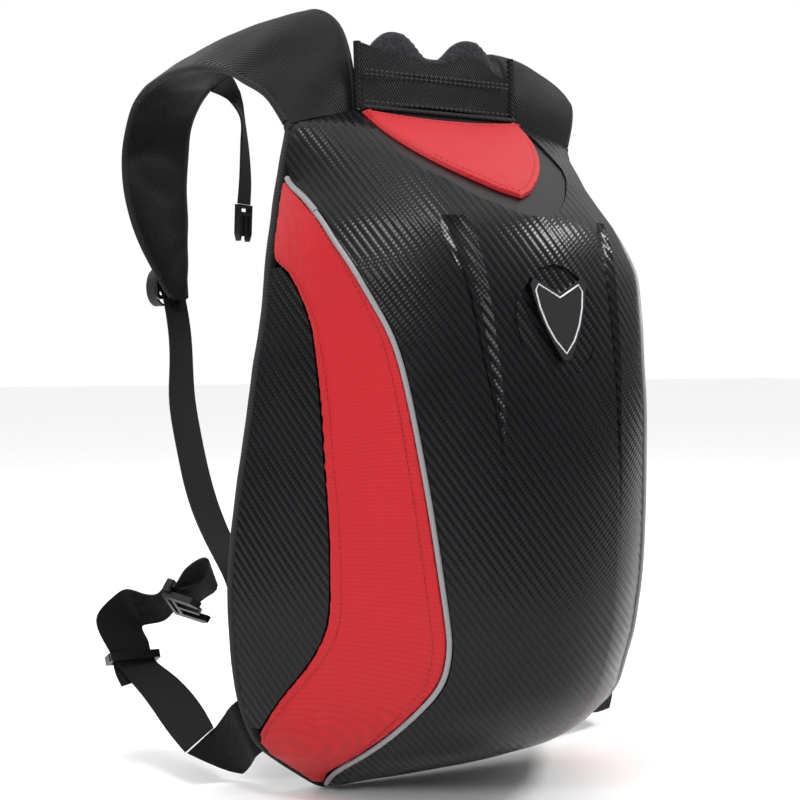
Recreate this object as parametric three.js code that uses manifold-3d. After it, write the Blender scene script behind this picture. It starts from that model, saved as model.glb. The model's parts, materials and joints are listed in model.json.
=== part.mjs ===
// Hard shell backpack: a moulded shell on a padded back panel, with straps, belt and buckles.
// Millimetres, +Z up, +X to the right of someone who faces the shell, -Y out of the shell.
// The origin is on the flat rear face of the back panel, half way up, where the wearer's back is.
import * as THREE from 'three';
import { mergeVertices } from 'three/addons/utils/BufferGeometryUtils.js';
import Module from 'manifold-3d';

const wasm = await Module();
wasm.setup();

// Driving dimensions
const halfHeight = 235; // middle of the panel to the bottom seam of the shell
const halfWidth = 162.5; // middle to the rim of the shell where it is widest
const shellDepth = 167; // rim plane to the crown of the shell
const strapReach = 260; // how far the shoulder straps stand out behind the panel
const shellWall = 3;
const sideWall = 2.5;
const panelThickness = 13;
const rimStep = 3; // front of the back panel to the rim plane of the shell
const clearance = 0.3; // between pieces that touch
const pipingRadius = 2;
const bindingReach = 1.2; // how far the binding stands out past the rim
const bindingGrip = 4; // how far it reaches in over the seam
const bindingRear = 6.5; // its rear face in front of the panel's rear face
const sideBulge = 10; // how far the side panels belly out of the straight line
const hemRise = 0.08; // slope of the lowest rows, which rise to the right
const facetSlope = 33.3; // degrees between the facet under the flap and the level
const facetTop = 237; // height of the facet plane at its upper end
const facetTopDepth = 21; // that end in front of the panel's rear face
const facetWall = 2.5;
const flapWall = 3;
const flapHalfWidth = 65.4;
const flapLength = 119.7; // down the facet
const flapDip = 8; // how far the flap's upper edge dips in the middle
const facingWall = 1.5;
const collarWall = 3;
const collarHalfWidth = 65.4;
const collarSeam = 241.5; // height of the seam at the collar's foot
const collarTop = 287;
const lobeHalfWidth = 57;
const lobeTop = 299;
const lobeNotch = 283;
const badgeWidth = 44;
const badgeHeight = 54;
const badgeThickness = 4;
const badgeCentre = 90; // height of the badge's dent
const badgeSeatDepth = 147; // rim plane to the floor of the dent at its centre
const badgeTilt = 11.5; // degrees that the floor of the dent leans back
const dentHalfWidth = 30;
const dentHalfHeight = 37;
const scoopDepth = 5.5;
const strapThickness = 8;
const strapEdge = 3; // thickness of the bound edge of the strap
const strapArch = 14; // deepest crown of the strap across its width
const webbingThickness = 1.6;
const tailWidth = 20;
const beltWidth = 30;
const buckleThickness = 7;

const rimY = -(panelThickness + rimStep);

// Rows of numbers become objects with named columns
function table(columns, rows) {
  const names = columns.split(' ');
  return rows.map((row) => Object.fromEntries(names.map((name, i) => [name, row[i]])));
}

// Half of the shell's cross-section at each height, as shares: height of halfHeight, rim and edge
// of halfWidth, edgeDepth and crown of shellDepth. The edge is the piping between front and side,
// and fullness is the power of the front's arch, where 2 is a parabola and 5 is nearly a box.
const sections = table('height rim edge edgeDepth crown fullness', [
  [-0.974, 0.542, 0.535, 0.000, 0.000, 2.2],
  [-0.970, 0.578, 0.566, 0.024, 0.072, 2.2],
  [-0.953, 0.628, 0.591, 0.054, 0.192, 2.2],
  [-0.919, 0.702, 0.597, 0.108, 0.347, 2.2],
  [-0.860, 0.837, 0.578, 0.287, 0.557, 2.2],
  [-0.796, 0.911, 0.542, 0.443, 0.707, 2.2],
  [-0.736, 0.948, 0.517, 0.563, 0.808, 2.2],
  [-0.681, 0.966, 0.492, 0.653, 0.880, 2.1],
  [-0.638, 0.975, 0.465, 0.707, 0.916, 2.1],
  [-0.591, 0.985, 0.449, 0.749, 0.946, 2.1],
  [-0.502, 0.994, 0.454, 0.796, 0.979, 2.1],
  [-0.421, 1.000, 0.470, 0.802, 0.994, 2.1],
  [-0.338, 0.997, 0.490, 0.802, 1.000, 2.1],
  [-0.179, 0.975, 0.519, 0.784, 0.994, 2.1],
  [-0.017, 0.938, 0.548, 0.754, 0.979, 2.1],
  [0.140, 0.902, 0.578, 0.719, 0.955, 2.1],
  [0.268, 0.877, 0.601, 0.674, 0.931, 2.1],
  [0.357, 0.849, 0.631, 0.632, 0.907, 2.1],
  [0.451, 0.833, 0.677, 0.560, 0.880, 2.1],
  [0.528, 0.825, 0.714, 0.497, 0.853, 2.1],
  [0.600, 0.812, 0.738, 0.401, 0.823, 2.1],
  [0.672, 0.797, 0.751, 0.299, 0.766, 2.2],
  [0.732, 0.785, 0.757, 0.180, 0.659, 2.5],
  [0.791, 0.769, 0.757, 0.036, 0.557, 3.0],
  [0.851, 0.754, 0.754, 0.000, 0.431, 3.4],
  [0.902, 0.738, 0.738, 0.000, 0.311, 3.6],
  [0.945, 0.726, 0.726, 0.000, 0.210, 3.8],
  [0.968, 0.689, 0.689, 0.000, 0.150, 4.0],
  [0.991, 0.566, 0.566, 0.000, 0.084, 4.6],
  [1.021, 0.418, 0.418, 0.000, 0.036, 4.6],
]);

// The two scoops beside the crown: height of halfHeight, inner and outer crest of halfWidth,
// depth of scoopDepth
const scoops = table('height inner outer depth', [
  [-1.00, 0.18, 0.26, 0],
  [-0.25, 0.23, 0.28, 0],
  [-0.09, 0.25, 0.29, 0.1],
  [0.08, 0.27, 0.30, 0.4],
  [0.27, 0.28, 0.34, 0.8],
  [0.46, 0.29, 0.37, 1],
  [0.60, 0.30, 0.41, 1],
  [0.66, 0.31, 0.42, 0.8],
  [0.70, 0.31, 0.43, 0],
  [1.03, 0.20, 0.28, 0],
]);

// Where the red panel gives way to the half-moon: height of halfHeight, part is the share of the
// side's curve from the piping at 0 to the rim at 1
const moonLine = table('height part', [
  [-0.82, 1.00],
  [-0.78, 0.915],
  [-0.73, 0.815],
  [-0.63, 0.687],
  [-0.54, 0.589],
  [-0.45, 0.530],
  [-0.36, 0.509],
  [-0.20, 0.502],
  [-0.03, 0.518],
  [0.22, 0.545],
  [0.39, 0.586],
  [0.47, 0.660],
  [0.52, 0.750],
  [0.556, 0.930],
  [0.58, 1.00],
]);

// Edges of the shoulder straps from the shell's shoulder over the top and down to the adjuster:
// x of halfWidth, y of strapReach, z of halfHeight, arch of strapArch
const leftStrap = table('neckX neckY neckZ armX armY armZ arch', [
  [-0.408, -0.044, 1.010, -0.735, -0.043, 0.955, 0],
  [-0.406, -0.035, 1.130, -0.763, 0.040, 1.055, 0.1],
  [-0.406, 0.008, 1.243, -0.782, 0.162, 1.119, 0.2],
  [-0.412, 0.058, 1.306, -0.794, 0.242, 1.157, 0.25],
  [-0.425, 0.138, 1.349, -0.806, 0.354, 1.187, 0.25],
  [-0.443, 0.231, 1.354, -0.825, 0.454, 1.204, 0.25],
  [-0.462, 0.346, 1.345, -0.831, 0.538, 1.209, 0.25],
  [-0.474, 0.462, 1.320, -0.837, 0.596, 1.211, 0.25],
  [-0.480, 0.569, 1.298, -0.837, 0.662, 1.209, 0.3],
  [-0.486, 0.673, 1.251, -0.837, 0.731, 1.204, 0.35],
  [-0.492, 0.796, 1.217, -0.837, 0.815, 1.189, 0.35],
  [-0.492, 0.892, 1.170, -0.837, 0.908, 1.145, 0.3],
  [-0.492, 0.962, 1.098, -0.837, 0.969, 1.064, 0.3],
  [-0.492, 0.985, 1.000, -0.837, 0.996, 0.979, 0.3],
  [-0.498, 0.992, 0.885, -0.837, 0.981, 0.872, 0.3],
  [-0.492, 0.992, 0.774, -0.818, 0.954, 0.766, 0.3],
  [-0.498, 0.988, 0.690, -0.775, 0.946, 0.681, 0.25],
  [-0.508, 0.969, 0.610, -0.714, 0.950, 0.605, 0.2],
  [-0.526, 0.950, 0.534, -0.652, 0.954, 0.534, 0.14],
  [-0.530, 0.946, 0.475, -0.603, 0.948, 0.485, 0.1],
]);
const rightStrap = table('neckX neckY neckZ armX armY armZ arch', [
  [0.408, -0.044, 1.010, 0.735, -0.043, 0.955, 0],
  [0.406, -0.040, 1.120, 0.800, -0.012, 1.050, 0.1],
  [0.406, -0.012, 1.205, 0.850, 0.035, 1.115, 0.2],
  [0.412, 0.035, 1.245, 0.865, 0.100, 1.140, 0.25],
  [0.425, 0.115, 1.260, 0.860, 0.190, 1.150, 0.25],
  [0.443, 0.231, 1.262, 0.850, 0.320, 1.150, 0.25],
  [0.462, 0.346, 1.250, 0.840, 0.440, 1.150, 0.25],
  [0.474, 0.462, 1.235, 0.837, 0.540, 1.150, 0.25],
  [0.480, 0.569, 1.220, 0.837, 0.640, 1.150, 0.3],
  [0.486, 0.690, 1.200, 0.837, 0.731, 1.145, 0.35],
  [0.492, 0.810, 1.165, 0.837, 0.830, 1.125, 0.35],
  [0.492, 0.900, 1.110, 0.837, 0.915, 1.080, 0.3],
  [0.492, 0.962, 1.030, 0.837, 0.969, 1.010, 0.3],
  [0.492, 0.985, 0.950, 0.837, 0.990, 0.930, 0.3],
  [0.498, 0.992, 0.865, 0.837, 0.981, 0.850, 0.3],
  [0.492, 0.992, 0.774, 0.818, 0.954, 0.766, 0.3],
  [0.498, 0.988, 0.690, 0.775, 0.946, 0.681, 0.25],
  [0.508, 0.969, 0.610, 0.714, 0.950, 0.605, 0.2],
  [0.526, 0.950, 0.534, 0.652, 0.954, 0.534, 0.14],
  [0.530, 0.946, 0.475, 0.603, 0.948, 0.485, 0.1],
]);

// Webbing from the adjuster down to the panel's lower edge, as the straps' shares, on the left
const strapTail = table('aX aY aZ bX bY bZ', [
  [-0.632, 0.930, 0.370, -0.509, 0.930, 0.370],
  [-0.682, 0.846, 0.256, -0.559, 0.846, 0.256],
  [-0.745, 0.769, 0.149, -0.606, 0.769, 0.147],
  [-0.785, 0.677, 0.051, -0.642, 0.677, 0.047],
  [-0.820, 0.577, -0.044, -0.681, 0.577, -0.047],
  [-0.868, 0.462, -0.132, -0.726, 0.462, -0.136],
  [-0.905, 0.338, -0.217, -0.765, 0.338, -0.221],
  [-0.935, 0.200, -0.291, -0.800, 0.200, -0.298],
  [-0.960, 0.070, -0.350, -0.830, 0.070, -0.356],
  [-0.967, 0.012, -0.393, -0.840, 0.012, -0.399],
  [-0.970, 0.0045, -0.440, -0.842, 0.0045, -0.446],
]);

const rightStrapDrop = 11.8; // how much lower the right strap lies where its chest webbing starts

// The chest webbing from the strap's lower face down to its buckle, on the left
const chestWebbing = table('aX aY aZ bX bY bZ', [
  [-0.498, 0.781, 1.206, -0.480, 0.662, 1.246],
  [-0.425, 0.760, 1.180, -0.370, 0.735, 1.205],
  [-0.376, 0.720, 1.115, -0.316, 0.780, 1.120],
  [-0.374, 0.724, 1.038, -0.301, 0.776, 1.038],
  [-0.375, 0.727, 0.969, -0.292, 0.773, 0.969],
  [-0.378, 0.730, 0.890, -0.288, 0.770, 0.890],
  [-0.388, 0.731, 0.815, -0.296, 0.767, 0.815],
]);

// The waist belt: its root is sewn to the panel's lower corner and folds over at its far end,
// where the run to the buckle starts. The left side is the photographed one, and the right side
// has its own root and its own start of the run, written as a mirror image.
const leftBeltRoot = table('aX aY aZ bX bY bZ', [
  [-0.860, 0.0045, -0.700, -0.740, 0.0045, -0.860],
  [-0.930, 0.0055, -0.728, -0.810, 0.0055, -0.885],
  [-0.962, 0.0160, -0.748, -0.840, 0.0160, -0.906],
  [-0.951, 0.054, -0.774, -0.825, 0.054, -0.932],
  [-0.951, 0.115, -0.826, -0.825, 0.115, -0.983],
  [-0.948, 0.135, -0.840, -0.930, 0.138, -0.960],
  [-0.945, 0.143, -0.842, -1.070, 0.143, -0.906],
]);
const rightBeltRoot = table('aX aY aZ bX bY bZ', [
  [-0.860, 0.0045, -0.700, -0.740, 0.0045, -0.860],
  [-0.930, 0.0055, -0.728, -0.810, 0.0055, -0.885],
  [-0.975, 0.0140, -0.750, -0.860, 0.0140, -0.910],
  [-1.010, 0.040, -0.765, -0.930, 0.040, -0.925],
  [-1.070, 0.075, -0.790, -1.070, 0.075, -0.950],
  [-1.110, 0.105, -0.815, -1.200, 0.105, -0.950],
]);
const beltLoop = [
  [-1.003, 0.308, -0.719, -1.163, 0.308, -0.766],
  [-1.065, 0.377, -0.677, -1.235, 0.377, -0.685],
  [-1.078, 0.400, -0.642, -1.273, 0.400, -0.629],
  [-1.078, 0.415, -0.616, -1.318, 0.415, -0.560],
  [-1.087, 0.431, -0.596, -1.306, 0.431, -0.515],
  [-1.090, 0.442, -0.580, -1.233, 0.442, -0.475],
  [-1.086, 0.440, -0.570, -1.169, 0.440, -0.448],
  [-1.058, 0.415, -0.561, -1.120, 0.392, -0.461],
  [-1.010, 0.377, -0.546, -1.082, 0.338, -0.458],
  [-0.978, 0.336, -0.494, -1.084, 0.272, -0.418],
  [-0.955, 0.309, -0.498, -1.061, 0.245, -0.422],
  [-0.959, 0.277, -0.447, -1.039, 0.208, -0.368],
  [-0.927, 0.254, -0.411, -1.002, 0.185, -0.339],
  [-0.894, 0.231, -0.403, -0.980, 0.162, -0.325],
  [-0.871, 0.223, -0.422, -0.962, 0.154, -0.331],
  [-0.872, 0.242, -0.446, -0.953, 0.173, -0.370],
  [-0.897, 0.269, -0.465, -0.970, 0.204, -0.411],
  [-0.941, 0.293, -0.500, -1.047, 0.228, -0.424],
];
const leftBeltRun = table('aX aY aZ bX bY bZ', [
  [-0.942, 0.149, -0.839, -1.077, 0.149, -0.903],
  [-0.954, 0.223, -0.783, -1.114, 0.223, -0.851],
  ...beltLoop,
]);
const rightBeltRun = table('aX aY aZ bX bY bZ', [
  [-1.111, 0.1080, -0.814, -1.203, 0.1080, -0.948],
  [-1.150, 0.165, -0.780, -1.300, 0.165, -0.880],
  [-1.110, 0.235, -0.745, -1.290, 0.235, -0.800],
  ...beltLoop,
]);

// The belt's free end behind its run: place in rows of the run, behind in webbing thicknesses,
// aside in shares of the belt's width
const beltEnd = table('place behind aside', [
  [3.6, 1.25, 0],
  [3.3, 1.4, 0.04],
  [2.95, 2.2, 0.14],
  [2.6, 3.1, 0.2],
]);

function clamp(value, low, high) {
  return Math.min(Math.max(value, low), high);
}

// Smooth row between the rows of a table: place 2.5 is half way from the third to the fourth
function rowAt(rows, place) {
  const last = rows.length - 1;
  const i = clamp(Math.floor(place), 0, last - 1);
  const f = place - i;
  const near = [i - 1, i, i + 1, i + 2].map((k) => rows[clamp(k, 0, last)]);
  const row = {};
  for (const name of Object.keys(rows[0])) {
    const [p, q, r, s] = near.map((one) => one[name]);
    const bend = (2 * p - 5 * q + 4 * r - s) * f ** 2 + (3 * q - p - 3 * r + s) * f ** 3;
    row[name] = 0.5 * (2 * q + (r - p) * f + bend);
  }
  return row;
}

// Place in a table whose heights rise, where the height is this share
function placeOfHeight(rows, height) {
  let low = 0;
  let high = rows.length - 1;
  while (high - low > 1e-5) {
    const middle = (low + high) / 2;
    if (rowAt(rows, middle).height < height) {
      low = middle;
    } else {
      high = middle;
    }
  }
  return low;
}

// Cross-section of the shell at a place in its table, in millimetres
function sectionAt(place) {
  const row = rowAt(sections, place);
  return {
    share: row.height,
    height: row.height * halfHeight,
    rim: row.rim * halfWidth,
    edge: row.edge * halfWidth,
    edgeDepth: Math.max(row.edgeDepth, 0) * shellDepth,
    crown: row.crown * shellDepth,
    fullness: row.fullness,
  };
}

// The lowest rows rise a little towards +X
function hem(x, height) {
  const low = clamp((-0.64 * halfHeight - height) / (0.34 * halfHeight), 0, 1) ** 2;
  return height + hemRise * x * low;
}

function frontPoint(cut, x) {
  const arch = 1 - Math.abs(x / cut.edge) ** cut.fullness;
  const depth = cut.edgeDepth + (cut.crown - cut.edgeDepth) * arch;
  const scoop = rowAt(scoops, placeOfHeight(scoops, cut.share));
  const [inner, outer] = [scoop.inner * halfWidth, scoop.outer * halfWidth];
  const across = clamp((Math.abs(x) - inner) / (outer - inner), 0, 1);
  const dip = scoopDepth * clamp(scoop.depth, 0, 1) * Math.sin(Math.PI * across);
  return new THREE.Vector3(x, rimY - depth + dip, hem(x, cut.height));
}

// Point on the side, part 0 at the piping and part 1 at the rim; side is -1 or 1
function sidePoint(cut, part, side) {
  const run = cut.rim - cut.edge;
  const length = Math.hypot(run, cut.edgeDepth) + 1e-6;
  const belly = sideBulge * clamp(length / 120, 0, 1);
  const midX = (cut.rim + cut.edge) / 2 + (belly * cut.edgeDepth) / length;
  const midDepth = cut.edgeDepth / 2 + (belly * run) / length;
  const [a, b, c] = [(1 - part) ** 2, 2 * part * (1 - part), part ** 2];
  const x = side * (a * cut.edge + b * midX + c * cut.rim);
  return new THREE.Vector3(x, rimY - a * cut.edgeDepth - b * midDepth, hem(x, cut.height));
}

// Mesh of a closed solid between two grids of points of the same size
function gridSolid(front, back) {
  const rows = front.length;
  const columns = front[0].length;
  const points = [...front.flat(), ...back.flat()];
  const at = (layer, i, j) => layer * rows * columns + i * columns + j;
  const faces = [];
  const quad = (a, b, c, d) => faces.push(a, b, c, a, c, d);
  for (let i = 0; i < rows - 1; i++) {
    for (let j = 0; j < columns - 1; j++) {
      quad(at(0, i, j), at(0, i, j + 1), at(0, i + 1, j + 1), at(0, i + 1, j));
      quad(at(1, i, j), at(1, i + 1, j), at(1, i + 1, j + 1), at(1, i, j + 1));
    }
    quad(at(0, i, 0), at(0, i + 1, 0), at(1, i + 1, 0), at(1, i, 0));
    const j = columns - 1;
    quad(at(0, i, j), at(1, i, j), at(1, i + 1, j), at(0, i + 1, j));
  }
  for (let j = 0; j < columns - 1; j++) {
    quad(at(0, 0, j), at(1, 0, j), at(1, 0, j + 1), at(0, 0, j + 1));
    const i = rows - 1;
    quad(at(0, i, j), at(0, i, j + 1), at(1, i, j + 1), at(1, i, j));
  }
  return facingOut(points, faces);
}

// Geometry from points and faces, turned over if the faces look inwards
function facingOut(points, faces) {
  let volume = 0;
  for (let k = 0; k < faces.length; k += 3) {
    const [a, b, c] = [points[faces[k]], points[faces[k + 1]], points[faces[k + 2]]];
    volume += a.dot(b.clone().cross(c));
  }
  if (volume < 0) {
    faces.reverse();
  }
  const geometry = new THREE.BufferGeometry();
  geometry.setAttribute('position', new THREE.Float32BufferAttribute(points.flatMap((p) => p.toArray()), 3));
  geometry.setIndex(faces);
  return geometry;
}

// Solid through closed loops of points, with flat ends
function loftSolid(loops) {
  const count = loops[0].length;
  const faces = [];
  for (let i = 0; i < loops.length - 1; i++) {
    for (let j = 0; j < count; j++) {
      const k = (j + 1) % count;
      faces.push(i * count + j, i * count + k, (i + 1) * count + k);
      faces.push(i * count + j, (i + 1) * count + k, (i + 1) * count + j);
    }
  }
  const end = (loops.length - 1) * count;
  for (let j = 1; j < count - 1; j++) {
    faces.push(0, j + 1, j);
    faces.push(end, end + j, end + j + 1);
  }
  return facingOut(loops.flat(), faces);
}

// The same grid of points moved inwards by the wall, and kept in front of the rim plane
function innerGrid(grid, wall) {
  const rows = grid.length;
  const columns = grid[0].length;
  return grid.map((row, i) => row.map((point, j) => {
    const up = grid[Math.min(i + 1, rows - 1)][j].clone().sub(grid[Math.max(i - 1, 0)][j]);
    const along = row[Math.min(j + 1, columns - 1)].clone().sub(row[Math.max(j - 1, 0)]);
    const normal = up.cross(along).normalize();
    const inwards = new THREE.Vector3(-point.x, rimY - point.y, -0.3 * point.z);
    const moved = point.clone().addScaledVector(normal, Math.sign(normal.dot(inwards)) * wall);
    moved.y = Math.min(moved.y, rimY);
    return moved;
  }));
}

function toManifold(geometry) {
  const bare = geometry.clone();
  bare.deleteAttribute('normal');
  bare.deleteAttribute('uv');
  const merged = mergeVertices(bare, 1e-4);
  return new wasm.Manifold(new wasm.Mesh({
    numProp: 3,
    vertProperties: merged.attributes.position.array,
    triVerts: new Uint32Array(merged.index.array),
  }));
}

function fromManifold(solid) {
  const mesh = solid.getMesh();
  const geometry = new THREE.BufferGeometry();
  geometry.setAttribute('position', new THREE.BufferAttribute(mesh.vertProperties, 3));
  geometry.setIndex(new THREE.BufferAttribute(mesh.triVerts, 1));
  return geometry;
}

function polygon(points) {
  return new THREE.Shape(points.map(([x, y]) => new THREE.Vector2(x, y)));
}

// Flat plate from a shape, turned by a placing matrix
function plate(shape, thickness, placing, curveSegments = 6) {
  const geometry = new THREE.ExtrudeGeometry(shape, { depth: thickness, bevelEnabled: false, curveSegments });
  return geometry.applyMatrix4(placing);
}

// Frame of the facet under the flap: x across, y up the slope, z out of it
function facetPlacing(lift) {
  const turn = new THREE.Matrix4().makeRotationX(THREE.MathUtils.degToRad(facetSlope));
  const origin = new THREE.Matrix4().makeTranslation(0, -facetTopDepth, facetTop);
  return origin.multiply(turn).multiply(new THREE.Matrix4().makeTranslation(0, 0, lift));
}

const finishes = {
  shell: new THREE.MeshStandardMaterial({ color: 0x16171a, roughness: 0.35, metalness: 0 }),
  facet: new THREE.MeshStandardMaterial({ color: 0x232426, roughness: 0.45, metalness: 0 }),
  red: new THREE.MeshStandardMaterial({ color: 0xd8202a, roughness: 0.65, metalness: 0 }),
  piping: new THREE.MeshStandardMaterial({ color: 0x77777a, roughness: 0.5, metalness: 0 }),
  fabric: new THREE.MeshStandardMaterial({ color: 0x1b1b1d, roughness: 0.85, metalness: 0 }),
  mesh: new THREE.MeshStandardMaterial({ color: 0x19191b, roughness: 0.95, metalness: 0 }),
  webbing: new THREE.MeshStandardMaterial({ color: 0x202022, roughness: 0.8, metalness: 0 }),
  buckle: new THREE.MeshStandardMaterial({ color: 0x121214, roughness: 0.4, metalness: 0 }),
  badge: new THREE.MeshStandardMaterial({ color: 0x101012, roughness: 0.25, metalness: 0.6 }),
};

const backpack = new THREE.Group();

function add(name, geometry, finish) {
  const mesh = new THREE.Mesh(geometry, finishes[finish]);
  mesh.name = name;
  backpack.add(mesh);
}

// Places of the rows of the moulded parts: every row of the table, and one between far rows
const farRows = 15;
const modelPlaces = sections.flatMap((row, i) => {
  const next = sections[i + 1];
  return next && (next.height - row.height) * halfHeight > farRows ? [i, i + 0.5] : [i];
});

// Crease between front and side where the piping lies, with a loop of points at each row
const pipedCuts = modelPlaces.map((place) => sectionAt(place))
  .filter((cut) => cut.edgeDepth > 1.5 * pipingRadius);

function bead(cuts, side, radius) {
  const points = cuts.map((cut) => sidePoint(cut, 0, side));
  const corners = 8;
  const loops = points.map((point, i) => {
    const next = points[Math.min(i + 1, points.length - 1)];
    const along = next.clone().sub(points[Math.max(i - 1, 0)]).normalize();
    const out = new THREE.Vector3(side, 0, 0).cross(along).normalize();
    const across = along.clone().cross(out);
    return Array.from({ length: corners }, (_, k) => {
      const angle = (2 * Math.PI * k) / corners;
      return point.clone()
        .addScaledVector(out, radius * Math.cos(angle))
        .addScaledVector(across, radius * Math.sin(angle));
    });
  });
  return loftSolid(loops);
}

// Room for the piping: its bead with the clearance all round and one row more at each end
function groove(side) {
  return toManifold(bead(pipedCuts, side, pipingRadius + 1.5 * clearance));
}

function addPiping(label, side) {
  add(`${label}_piping`, bead(pipedCuts.slice(1, -1), side, pipingRadius), 'piping');
}

// The front of the shell stops short of the piping, where there is one
function frontHalfWidth(cut) {
  const slope = ((cut.crown - cut.edgeDepth) * cut.fullness) / cut.edge;
  const piped = clamp((cut.edgeDepth - 1) / 3, 0, 1);
  return cut.edge - (piped * (pipingRadius + clearance)) / Math.hypot(1, slope);
}

// Columns of the shell follow the crests of the scoops
function frontColumns(cut) {
  const scoop = rowAt(scoops, placeOfHeight(scoops, cut.share));
  const [inner, outer, end] = [scoop.inner * halfWidth, scoop.outer * halfWidth, frontHalfWidth(cut)];
  const half = [0.5 * inner, inner];
  for (const part of [1 / 3, 2 / 3, 1]) {
    half.push(inner + (outer - inner) * part);
  }
  for (const part of [0.2, 0.4, 0.6, 0.78, 0.91, 1]) {
    half.push(outer + (end - outer) * part);
  }
  return [...half.map((x) => -x).reverse(), 0, ...half];
}

const frontGrid = modelPlaces.map((place) => {
  const cut = sectionAt(place);
  return frontColumns(cut).map((x) => frontPoint(cut, x));
});

// Everything above the facet plane, lowered by a drop
function aboveFacet(drop) {
  const size = 2 * halfWidth;
  const block = new THREE.BoxGeometry(size, size, size);
  return toManifold(block.applyMatrix4(facetPlacing(size / 2 - drop)));
}

// Frame of the badge's seat: x across, y up, z out of the shell
function badgePlacing(lift) {
  const turn = new THREE.Matrix4().makeRotationX(THREE.MathUtils.degToRad(90 - badgeTilt));
  const origin = new THREE.Matrix4().makeTranslation(0, rimY - badgeSeatDepth, badgeCentre);
  return origin.multiply(turn).multiply(new THREE.Matrix4().makeTranslation(0, 0, lift));
}

function ellipse(halfX, halfY) {
  return new THREE.Shape().absellipse(0, 0, halfX, halfY, 0, 2 * Math.PI);
}

// Half outline of the facet's smooth border down to its tip: x of flapHalfWidth, down of
// flapLength
const facetTip = 1.22;
const facetOutline = table('x down', [
  [1.03, -0.20],
  [1.03, 0.23],
  [1.01, 0.42],
  [0.98, 0.58],
  [0.89, 0.71],
  [0.79, 0.80],
  [0.66, 0.91],
  [0.54, 1.00],
  [0.34, 1.12],
  [0.14, 1.20],
]);

// Block over the facet, as wide as its border and a margin, from the plane less a drop
function facetBlock(margin, drop) {
  const half = facetOutline.map((row) => [row.x * flapHalfWidth + margin, -row.down * flapLength - margin]);
  const left = half.map(([x, y]) => [-x, y]);
  const shape = polygon([...left, [0, -facetTip * flapLength - margin], ...half.reverse()]);
  const placing = facetPlacing(-drop);
  return toManifold(plate(shape, halfHeight, placing));
}

function addShell() {
  let shell = toManifold(gridSolid(frontGrid, innerGrid(frontGrid, shellWall)));
  shell = shell.subtract(facetBlock(clearance, facetWall + clearance));
  const seat = plate(ellipse(dentHalfWidth + shellWall, dentHalfHeight + shellWall), shellWall,
    badgePlacing(-shellWall), 8);
  const dent = plate(ellipse(dentHalfWidth, dentHalfHeight), 3 * shellWall, badgePlacing(0), 8);
  shell = shell.add(toManifold(seat)).subtract(toManifold(dent)).subtract(groove(-1)).subtract(groove(1));
  add('front_shell', fromManifold(shell), 'shell');
}

// The facet is the lid of the cut: a sheet under the plane, inside the cut's outline
function addFacet() {
  const inward = (p) => new THREE.Vector3(0.97 * p.x, rimY, p.z - 0.01 * halfHeight);
  const core = frontGrid.map((row) => row.map(inward));
  const solid = toManifold(gridSolid(frontGrid, core));
  const sheet = solid.subtract(aboveFacet(0)).intersect(facetBlock(0, facetWall));
  add('flap_surround', fromManifold(sheet), 'facet');
}

// Half outline of the flap, down the facet from its upper corner: x of flapHalfWidth, down of
// flapLength
const flapOutline = table('x down', [
  [1, 0],
  [0.954, 0.234],
  [0.801, 0.476],
  [0.550, 0.702],
  [0.226, 0.911],
  [0.084, 0.969],
]);

function addFlap() {
  const corner = flapOutline.map((row) => new THREE.Vector2(row.x * flapHalfWidth, -row.down * flapLength));
  const left = corner.map((p) => new THREE.Vector2(-p.x, p.y)).reverse();
  const shape = new THREE.Shape();
  shape.moveTo(corner[0].x, corner[0].y);
  shape.splineThru([...corner.slice(1), new THREE.Vector2(0, -flapLength), ...left]);
  shape.quadraticCurveTo(0, -2 * flapDip, corner[0].x, corner[0].y);
  add('top_flap', plate(shape, flapWall, facetPlacing(clearance)), 'red');

  const above = 2.5;
  const strip = new THREE.Shape();
  strip.moveTo(-0.93 * flapHalfWidth, above);
  strip.lineTo(0.93 * flapHalfWidth, above);
  strip.lineTo(0.93 * flapHalfWidth, 0);
  strip.quadraticCurveTo(0, -2 * flapDip + 3 * clearance, -0.93 * flapHalfWidth, 0);
  add('collar_facing', plate(strip, facingWall, facetPlacing(clearance)), 'fabric');
}

// Plain shield with a shallow notch in its upper edge
function addBadge() {
  const [x, y] = [badgeWidth / 2, badgeHeight / 2];
  const shape = new THREE.Shape();
  shape.moveTo(0, 0.62 * y);
  shape.lineTo(0.86 * x, y);
  shape.lineTo(x, 0.82 * y);
  shape.quadraticCurveTo(0.8 * x, -0.15 * y, 0.12 * x, -y);
  shape.lineTo(-0.12 * x, -y);
  shape.quadraticCurveTo(-0.8 * x, -0.15 * y, -x, 0.82 * y);
  shape.lineTo(-0.86 * x, y);
  add('badge', plate(shape, badgeThickness, badgePlacing(clearance)), 'badge');
}

// Points of the side between two parts of its curve, shortened at both ends, columns apart evenly
function sideStrip(cut, side, from, to, startTrim, endTrim, columns) {
  const steps = 24;
  const points = [];
  for (let k = 0; k <= steps; k++) {
    points.push(sidePoint(cut, from + ((to - from) * k) / steps, side));
  }
  const curve = new THREE.CatmullRomCurve3(points);
  const length = curve.getLength();
  const [start, end] = [startTrim / length, 1 - endTrim / length];
  const strip = [];
  for (let k = 0; k < columns; k++) {
    strip.push(curve.getPointAt(start + ((end - start) * k) / (columns - 1)));
  }
  return strip;
}

function moonPart(cut) {
  const lowest = moonLine[0].height;
  const highest = moonLine[moonLine.length - 1].height;
  if (cut.share <= lowest || cut.share >= highest) {
    return 1;
  }
  return clamp(rowAt(moonLine, placeOfHeight(moonLine, cut.share)).part, 0, 1);
}

function sideLength(cut) {
  return Math.hypot(cut.rim - cut.edge, cut.edgeDepth);
}

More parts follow.
